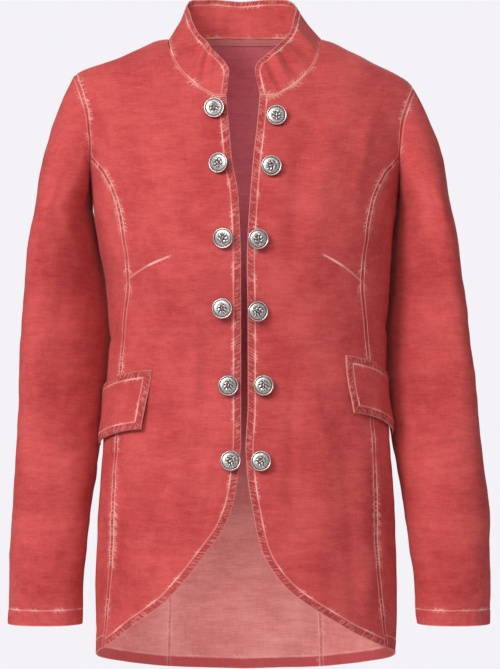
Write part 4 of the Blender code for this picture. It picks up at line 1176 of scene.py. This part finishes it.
def sleeve_section(side, turn, height):
    """A point of the sleeve's level sections; the turn starts outside and goes by the front."""
    outer = smooth(SLEEVE["height"], SLEEVE["outer_" + side], height)
    inner = smooth(SLEEVE["height"], SLEEVE["inner_" + side], height)
    depth = smooth(SLEEVE["height"], SLEEVE["half_depth"], height)
    middle = smooth(SLEEVE["height"], SLEEVE["middle"], height)
    power = 2 / SLEEVE_SQUARENESS
    cos, sin = np.cos(turn), np.sin(turn)
    full_turn = np.mod(turn, 2 * math.pi)
    relief = fold_relief(SLEEVE_FOLDS, side, full_turn, height, SLEEVE_ROUND)
    relief = relief + fold_relief(SLEEVE_CREASES, side, full_turn, height, SLEEVE_ROUND)
    relief = relief * (1 - ease((-cos - 0.3) / 0.5))
    x = 0.5 * (outer + inner) + 0.5 * (outer - inner) * np.sign(cos) * np.abs(cos) ** power
    skew = smooth(SLEEVE["height"], SLEEVE["skew"], height)
    y = middle - depth * np.sign(sin) * np.abs(sin) ** power - skew * cos
    return np.stack([SIDES[side] * (x + relief * cos), y - relief * sin, height + 0 * x], axis=-1)


def build_sleeve(side, ring, cloth, lining):
    """A sleeve from the armhole's ring of points down to the cuff."""
    sign = SIDES[side]
    closed = np.vstack([ring, ring[:1]])
    track = np.concatenate([[0], np.cumsum(np.linalg.norm(np.diff(closed, axis=0), axis=1))])
    at = np.linspace(0, track[-1], 121)[:-1]
    ring = np.stack([np.interp(at, track, closed[:, i]) for i in range(3)], axis=-1)
    turn = 2 * math.pi * at / track[-1]
    top = smooth(SHOULDER["half"], SHOULDER[side], SHOULDER_HALF)
    away = unit(ring * np.array([0, 1, 1]) - np.array([0, 0, 0.5 * (top + UNDERARM)]))
    base = ring + np.array([sign * 0.3, 0.0, 0.0])
    end = sleeve_section(side, turn, np.full(len(turn), CAP_BASE))
    swing = np.stack([sign * np.cos(turn), -np.sin(turn), 0 * turn], axis=-1)
    swell = CAP_BULGE * np.maximum(np.cos(turn), 0) + 0.4 * CAP_BULGE * np.abs(np.sin(turn))
    rows = [ring - away * 1.4 - np.array([sign * 2.5, 0, 0])]
    steps = np.concatenate([NEAR_SEAM[:-1] / 120.0, np.linspace(NEAR_SEAM[-1] / 120.0, 1, 36)[:-1]])
    for t in steps:
        bulge = np.sin(math.pi * t ** 0.8) * swell
        rows.append(base + (end - base) * t + swing * bulge[:, None])
    levels = np.concatenate([np.linspace(CAP_BASE, CUFF + NEAR_EDGE[-1], 150),
                             (CUFF + NEAR_EDGE[:-1])[::-1]])
    for height in levels:
        rows.append(sleeve_section(side, turn, np.full(len(turn), height)))
    outer = np.array(rows)
    normals = grid_normals(outer, closed=True)
    middle = outer.mean(axis=1, keepdims=True)
    if np.sum(normals * (outer - middle)) < 0:
        normals = -normals
    normals[0] = away
    normals[1] = unit(normals[2] + away)
    edge = nearest_track(outer, [(flat_line(np.vstack([outer[-1], outer[-1][:1]])), CUFF_BAND)])
    inner_column = len(turn) // 2
    seam = nearest_track(outer, [(flat_line(np.vstack([ring, ring[:1]])), 0.7),
                                 (flat_line(outer[2:, inner_column]), 0.8)])
    dart = no_dart(outer)
    relief = seam_relief(edge, seam, dart)
    relief += sway(outer, 31, 30, 90, 1.0) + sway(outer, 32, 12, 28, 0.25)
    relief[:2] = 0.0
    outer = outer + normals * relief[..., None]
    inner = outer - normals * wall_thickness(edge)[..., None]
    weave = np.stack([turn[None, :] * SLEEVE_ROUND + 0 * relief, outer[..., 2],
                      80.0 + 0 * relief], axis=-1)
    # the pattern meets itself on the inner side, where the sleeve's seam is
    weave[..., 0] = np.where(turn[None, :] > math.pi, weave[..., 0] - 2 * math.pi * SLEEVE_ROUND,
                             weave[..., 0])
    fields = {"edge": edge, "seam": seam, "dart": dart, "weave": weave}
    thing = make_shell("cloth_sleeve_" + side, outer, inner, [cloth, lining], fields, closed=True)
    return thing, outer, normals, fields


def build_flap(side, cloth):
    """A pocket flap: two layers turned and topstitched, its lower front corner curling off."""
    size = FLAPS[side]
    start = turn_at(side, size["front_half"], size["top"])
    stop = math.radians(FLAP_SIDE_TURN)
    near = NEAR_EDGE[:13]
    wide = 118.0
    across = np.concatenate([near / wide, np.linspace(near[-1] / wide, 1 - near[-1] / wide, 34)[1:-1],
                             1 - near[::-1] / wide])[None, :]
    tall = size["height"]
    down = np.concatenate([near / tall, np.linspace(near[-1] / tall, 1 - near[-1] / tall, 18)[1:-1],
                           1 - near[::-1] / tall])[::-1][:, None]
    turn = start + (stop - start) * across + 0 * down
    height = size["top"] - size["drop"] * across ** 1.4 - size["height"] * down
    lean = turn_at(side, size["front_half"] + size["slant"], size["top"]) - start
    turn = turn + lean * down * (1 - across) ** 2
    skin = body_point(side, turn, height)
    normal = surface_normals(side, turn, height)
    relief = fold_relief(BODY_CREASES, side, turn, height, BODY_ROUND)
    relief += sway(skin, 11, 34, 95, 0.9) + sway(skin, 12, 12, 30, 0.22)
    curl = FLAP_CURL * ease(down) ** 1.5 * (0.35 + 0.65 * (1 - across) ** 2)
    under = skin + normal * (relief + FLAP_LIFT + curl)[..., None]
    border = np.concatenate([under[0], under[1:, -1], under[-1, ::-1][1:], under[::-1, 0][1:]])
    edge = nearest_track(under, [(flat_line(border), FLAP_BAND)])
    seam = nearest_track(under, [])
    seam[..., 2] = 0.0
    own = seam_relief(edge, seam, no_dart(under)) + sway(under, 41, 14, 40, 0.35)
    round_off = ease(edge[..., 0] / 1.6 + 0.04)
    outer = under + normal * (FLAP_THICK * (0.3 + 0.7 * round_off) + own)[..., None]
    weave = np.stack([SIDES[side] * turn * BODY_ROUND, under[..., 2], 120.0 + 0 * turn], axis=-1)
    fields = {"edge": edge, "seam": seam, "dart": no_dart(under), "weave": weave}
    thing = make_shell("cloth_flap_" + side, outer, under, [cloth, cloth], fields)
    return thing, outer, normal, fields


def build_tape(back, tape):
    """The tape that covers the neck seam inside the back."""
    _, outer, normals, fields = back
    distance = fields["seam"][..., 0]
    columns = [c for c in range(outer.shape[1]) if abs(outer[-1, c, 0]) < 60.0]
    rows = []
    for level in np.linspace(2.4, 9.4, 9):
        line = []
        for c in columns:
            column = distance[::-1, c]
            order = np.argmax(column > level)
            share = (level - column[order - 1]) / (column[order] - column[order - 1])
            both = outer[::-1, c], normals[::-1, c]
            place, normal = (v[order - 1] * (1 - share) + v[order] * share for v in both)
            line.append(place - normal * (CLOTH + 0.45))
        rows.append(line)
    face = np.array(rows)
    normal = normals[-3][columns][None, :] + 0 * face
    run = np.concatenate([[0], np.cumsum(np.linalg.norm(np.diff(face[0], axis=0), axis=1))])
    weave = np.stack([run[None, :] + 0 * face[..., 0],
                      np.linspace(0, 7, 9)[:, None] + 0 * face[..., 0], 0 * face[..., 0]], axis=-1)
    return make_shell("tape_neck", face, face - normal * 0.8, [tape, tape], {"weave": weave})


# Buttons


def select_faces(mesh, test):
    """Selects the faces whose middle and normal pass a test, in object mode."""
    for part in (mesh.vertices, mesh.edges, mesh.polygons):
        part.foreach_set("select", np.zeros(len(part), bool))
    for face in mesh.polygons:
        face.select = test(face.center, face.normal)


def shape_top(thing, steps):
    """Insets the top face again and again, and moves each new one up or down."""
    for inset, lift in steps:
        highest = max(face.center.z for face in thing.data.polygons
                      if face.center.xy.length < 0.0001)
        select_faces(thing.data, lambda c, n: abs(c.z - highest) < 1e-6 and c.xy.length < 0.0001)
        bpy.ops.object.mode_set(mode="EDIT")
        bpy.ops.mesh.inset(thickness=inset * METRES, depth=0)
        bpy.ops.transform.translate(value=(0, 0, lift * METRES))
        bpy.ops.object.mode_set(mode="OBJECT")


def deselect():
    """Leaves nothing selected."""
    for thing in bpy.context.view_layer.objects.selected[:]:
        thing.select_set(False)


def join_pieces(pieces):
    """Joins pieces into the first one."""
    deselect()
    for piece in pieces:
        piece.select_set(True)
    bpy.context.view_layer.objects.active = pieces[0]
    bpy.ops.object.join()
    return pieces[0]


def add_bead(centre, sizes, turn, segments, rings):
    """A stretched bead, in millimetres, turned about the button's axis."""
    bpy.ops.mesh.primitive_uv_sphere_add(segments=segments, ring_count=rings, radius=METRES)
    bead = bpy.context.object
    bead.data.transform(Matrix.Translation(Vector(centre) * METRES)
                        @ Matrix.Rotation(turn, 4, "Z") @ Matrix.Diagonal((*sizes, 1)))
    return bead


def model_button(pewter):
    """A domed button with a thick plain rim, a leafy sprig and a pebbled ground."""
    deselect()
    bpy.ops.mesh.primitive_cylinder_add(vertices=56, radius=BUTTON_NECK * METRES,
                                        depth=1.2 * METRES, location=(0, 0, 6.2 * METRES))
    disc = bpy.context.object
    disc.data.transform(disc.matrix_world)
    disc.matrix_world = Matrix.Identity(4)
    # spread the upper face out to the rim, then step in over the rim and the channel to the dome
    select_faces(disc.data, lambda c, n: n.z > 0.9)
    bpy.ops.object.mode_set(mode="EDIT")
    spread = BUTTON_RIM / BUTTON_NECK
    bpy.ops.transform.resize(value=(spread, spread, 1.0), center_override=(0, 0, 0))
    bpy.ops.object.mode_set(mode="OBJECT")
    shape_top(disc, BUTTON_STEPS)
    pieces = [disc]
    for row in LEAVES:
        leaf = dict(zip(LEAF_COLUMNS, row))
        level = 8.80 - DOME_FALL * (leaf["x"] ** 2 + leaf["y"] ** 2)
        turn = math.radians(leaf["turn"])
        pieces.append(add_bead((leaf["x"], leaf["y"], level), (leaf["length"], leaf["width"], 0.75),
                               turn, 12, 7))
        # a vein along the leaf
        pieces.append(add_bead((leaf["x"], leaf["y"], level + 0.55),
                               (leaf["length"] * 0.8, 0.22, 0.35), turn, 8, 5))
    draw = np.random.default_rng(7)
    for k in range(PEBBLES):
        angle, reach = 2.4 * k, 7.6 * math.sqrt((k + 0.6) / PEBBLES)
        size = draw.uniform(0.35, 0.75)
        pieces.append(add_bead((reach * math.cos(angle), reach * math.sin(angle),
                                8.50 - DOME_FALL * reach ** 2), (size * 1.3, size, 0.6),
                               draw.uniform(0, math.pi), 8, 5))
    # the shank behind
    bpy.ops.mesh.primitive_cylinder_add(vertices=16, radius=2.4 * METRES, depth=5.0 * METRES)
    shank = bpy.context.object
    shank.data.transform(Matrix.Translation(Vector((0, 0, 3.3)) * METRES))
    select_faces(shank.data, lambda c, n: n.z < -0.9)
    bpy.context.view_layer.objects.active = shank
    bpy.ops.object.mode_set(mode="EDIT")
    bpy.ops.mesh.inset(thickness=0.5 * METRES, depth=0)
    bpy.ops.object.mode_set(mode="OBJECT")
    pieces.append(shank)
    button = join_pieces(pieces)
    mesh = button.data
    mesh.materials.clear()
    mesh.materials.append(pewter)
    mesh.shade_smooth()
    mesh.set_sharp_from_angle(angle=math.radians(48))
    spots = np.array([v.co for v in mesh.vertices]) / METRES
    radius = np.hypot(spots[:, 0], spots[:, 1])
    crest = np.interp(radius, CREST["radius"], CREST["height"])
    recess = np.clip(crest - spots[:, 2], 0, 1)
    set_attribute(mesh, "recess", np.stack([recess, radius, 0 * radius], axis=-1))
    return button


def place_button(model, name, side, row):
    """A copy of the modelled button, turned and set on the front."""
    place = dict(zip(BUTTON_COLUMNS, row))
    turn = turn_at(side, place["half"], place["height"])
    foot = body_point(side, turn, place["height"])
    normal = surface_normals(side, turn, place["height"])
    spin = math.radians(place["turn"]) * SIDES[side]
    nod = math.radians(place["nod"])
    facing = unit(0.3 * normal + np.array([math.sin(spin), -math.cos(spin), math.sin(nod)]))
    across = unit(np.cross(facing, np.array([0.0, 0.0, 1.0])))
    upward = np.cross(across, facing)
    mesh = model.data.copy()
    mesh.name = name
    spots = np.array([v.co for v in mesh.vertices])
    roll = 0.37 * place["height"]
    x = spots[:, 0] * math.cos(roll) - spots[:, 1] * math.sin(roll)
    y = spots[:, 0] * math.sin(roll) + spots[:, 1] * math.cos(roll)
    # the shank leans from the cloth's own normal to the button's
    share = ease(spots[:, 2:3] / METRES / 5.6)
    axis = normal * (1 - share) + facing * share
    placed = foot * METRES + axis * spots[:, 2:3] + across * x[:, None] + upward * y[:, None]
    mesh.vertices.foreach_set("co", np.ascontiguousarray(placed, np.float32).ravel())
    if np.dot(np.cross(across, upward), facing) < 0:
        mesh.flip_normals()
    mesh.update()
    thing = bpy.data.objects.new("pewter_" + name, mesh)
    bpy.context.scene.collection.objects.link(thing)
    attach(thing, "root")
    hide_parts(name)
    return thing


# Room, light and camera


def build_room():
    """A plain pale floor, an even pale surround and soft light from the left of the picture."""
    bpy.ops.mesh.primitive_circle_add(vertices=96, radius=1.15, fill_type="NGON",
                                      location=(0, 0, -1.0))
    floor = bpy.context.object
    floor.name = "floor"
    material, _, _ = plain_material("matt painted floor", "#efedf2", 0.8)
    floor.data.materials.append(material)
    world = bpy.data.worlds.new("studio")
    bpy.context.scene.world = world
    world.use_nodes = True
    tree = world.node_tree
    tree.nodes.clear()
    seen = add_node(tree, "Background", {"Color": linear("#f4f2f7"), "Strength": 1.0})
    fill = add_node(tree, "Background", {"Color": linear("#ffecec"), "Strength": 0.33})
    path = add_node(tree, "LightPath", {}, "Is Camera Ray")
    both = add_node(tree, "MixShader", {0: path, 1: fill, 2: seen})
    out = tree.nodes.new("ShaderNodeOutputWorld")
    tree.links.new(both, out.inputs[0])
    for name, place, aim, size, power in LIGHTS:
        light = bpy.data.lights.new(name, "AREA")
        light.shape = "DISK"
        light.size = size
        light.energy = power
        lamp = bpy.data.objects.new(name, light)
        bpy.context.scene.collection.objects.link(lamp)
        lamp.location = place
        lamp.rotation_euler = (Vector(aim) - Vector(place)).to_track_quat("-Z", "Y").to_euler()
        lamp.visible_camera = False
    camera = bpy.data.cameras.new("camera")
    camera.sensor_width = 36.0
    camera.lens = CAMERA_LENS
    seat = bpy.data.objects.new("camera", camera)
    bpy.context.scene.collection.objects.link(seat)
    seat.location = CAMERA_PLACE
    seat.rotation_euler = (math.pi / 2, 0, 0)
    camera.clip_end = 60.0
    bpy.context.scene.camera = seat
    bpy.context.scene.view_settings.view_transform = "Standard"


def main():
    build_room()
    cloth = washed_cotton("pigment-washed slub cotton", "#ac3337", "#d95f5d", "#76141d", "#f8bdb2",
                          0.88, None)
    # the wrong side is paler than the right side; its last two colours are a painted shade on its
    # upper part inside
    lining = washed_cotton("pigment-washed slub cotton, wrong side", "#b9625f", "#e09a94",
                           "#a83a40", "#eeb4ae", 0.5, ("#a8434f", "#c56670"))
    thread = cotton_thread()
    tape = herringbone_tape()
    pewter = antique_pewter()

    panels, necks, rings = build_panels(cloth, lining)
    collar = build_collar(necks, cloth)
    sleeves = {side: build_sleeve(side, rings[side], cloth, lining) for side in SIDES}
    flaps = {side: build_flap(side, cloth) for side in SIDES}
    neck_tape = build_tape(panels["back"], tape)

    # topstitching: the pieces it is on, the field it follows and its distance from the edge
    for name, (thing, outer, normals, fields) in panels.items():
        band = FRONT_BAND if name.startswith("front") else HEM_BAND
        rows = level_line(outer, normals, fields["edge"], band)
        rows += level_line(outer, normals, fields["seam"], SEAM_STITCH)
        stitches("stitches_" + name, rows, thread)
    _, outer, normals, fields = collar
    stitches("stitches_collar",
                              level_line(outer[2:], normals[2:], fields["edge"][2:], COLLAR_BAND),
                              thread)
    for side in SIDES:
        _, outer, normals, fields = sleeves[side]
        stitches("stitches_sleeve_" + side,
                                          level_line(outer, normals, fields["edge"], CUFF_BAND),
                                          thread)
        _, outer, normals, fields = flaps[side]
        stitches("stitches_flap_" + side,
                                        level_line(outer, normals, fields["edge"], FLAP_BAND),
                                        thread)

    # each sheet: flat width and length, its cut's area as a share of that, and what holds it
    shapes = {"back": (panels["back"][0], (0.36, 0.75), 0.65, ["cloth_collar"]),
              "collar": (collar[0], (0.43, 0.05), 0.96, ["cloth_back"])}
    for side in SIDES:
        shapes["front_" + side] = (panels["front_" + side][0], (0.22, 0.72), 0.61, ["cloth_back"])
        shapes["side_" + side] = (panels["side_" + side][0], (0.19, 0.60), 0.92,
                                  ["cloth_front_" + side])
        shapes["sleeve_" + side] = (sleeves[side][0], (0.38, 0.64), 0.70, ["cloth_front_" + side])
        shapes["flap_" + side] = (flaps[side][0], (0.12, 0.066), 0.97, ["cloth_side_" + side])
    for name, (thing, flat, share, holder) in shapes.items():
        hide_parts(name)
    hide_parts("neck_tape")

    model = model_button(pewter)
    for side in SIDES:
        for number, row in enumerate(BUTTONS[side], start=1):
            place_button(model, f"button_{side}_{number}", side, row)
    bpy.data.objects.remove(model, do_unlink=True)


main()
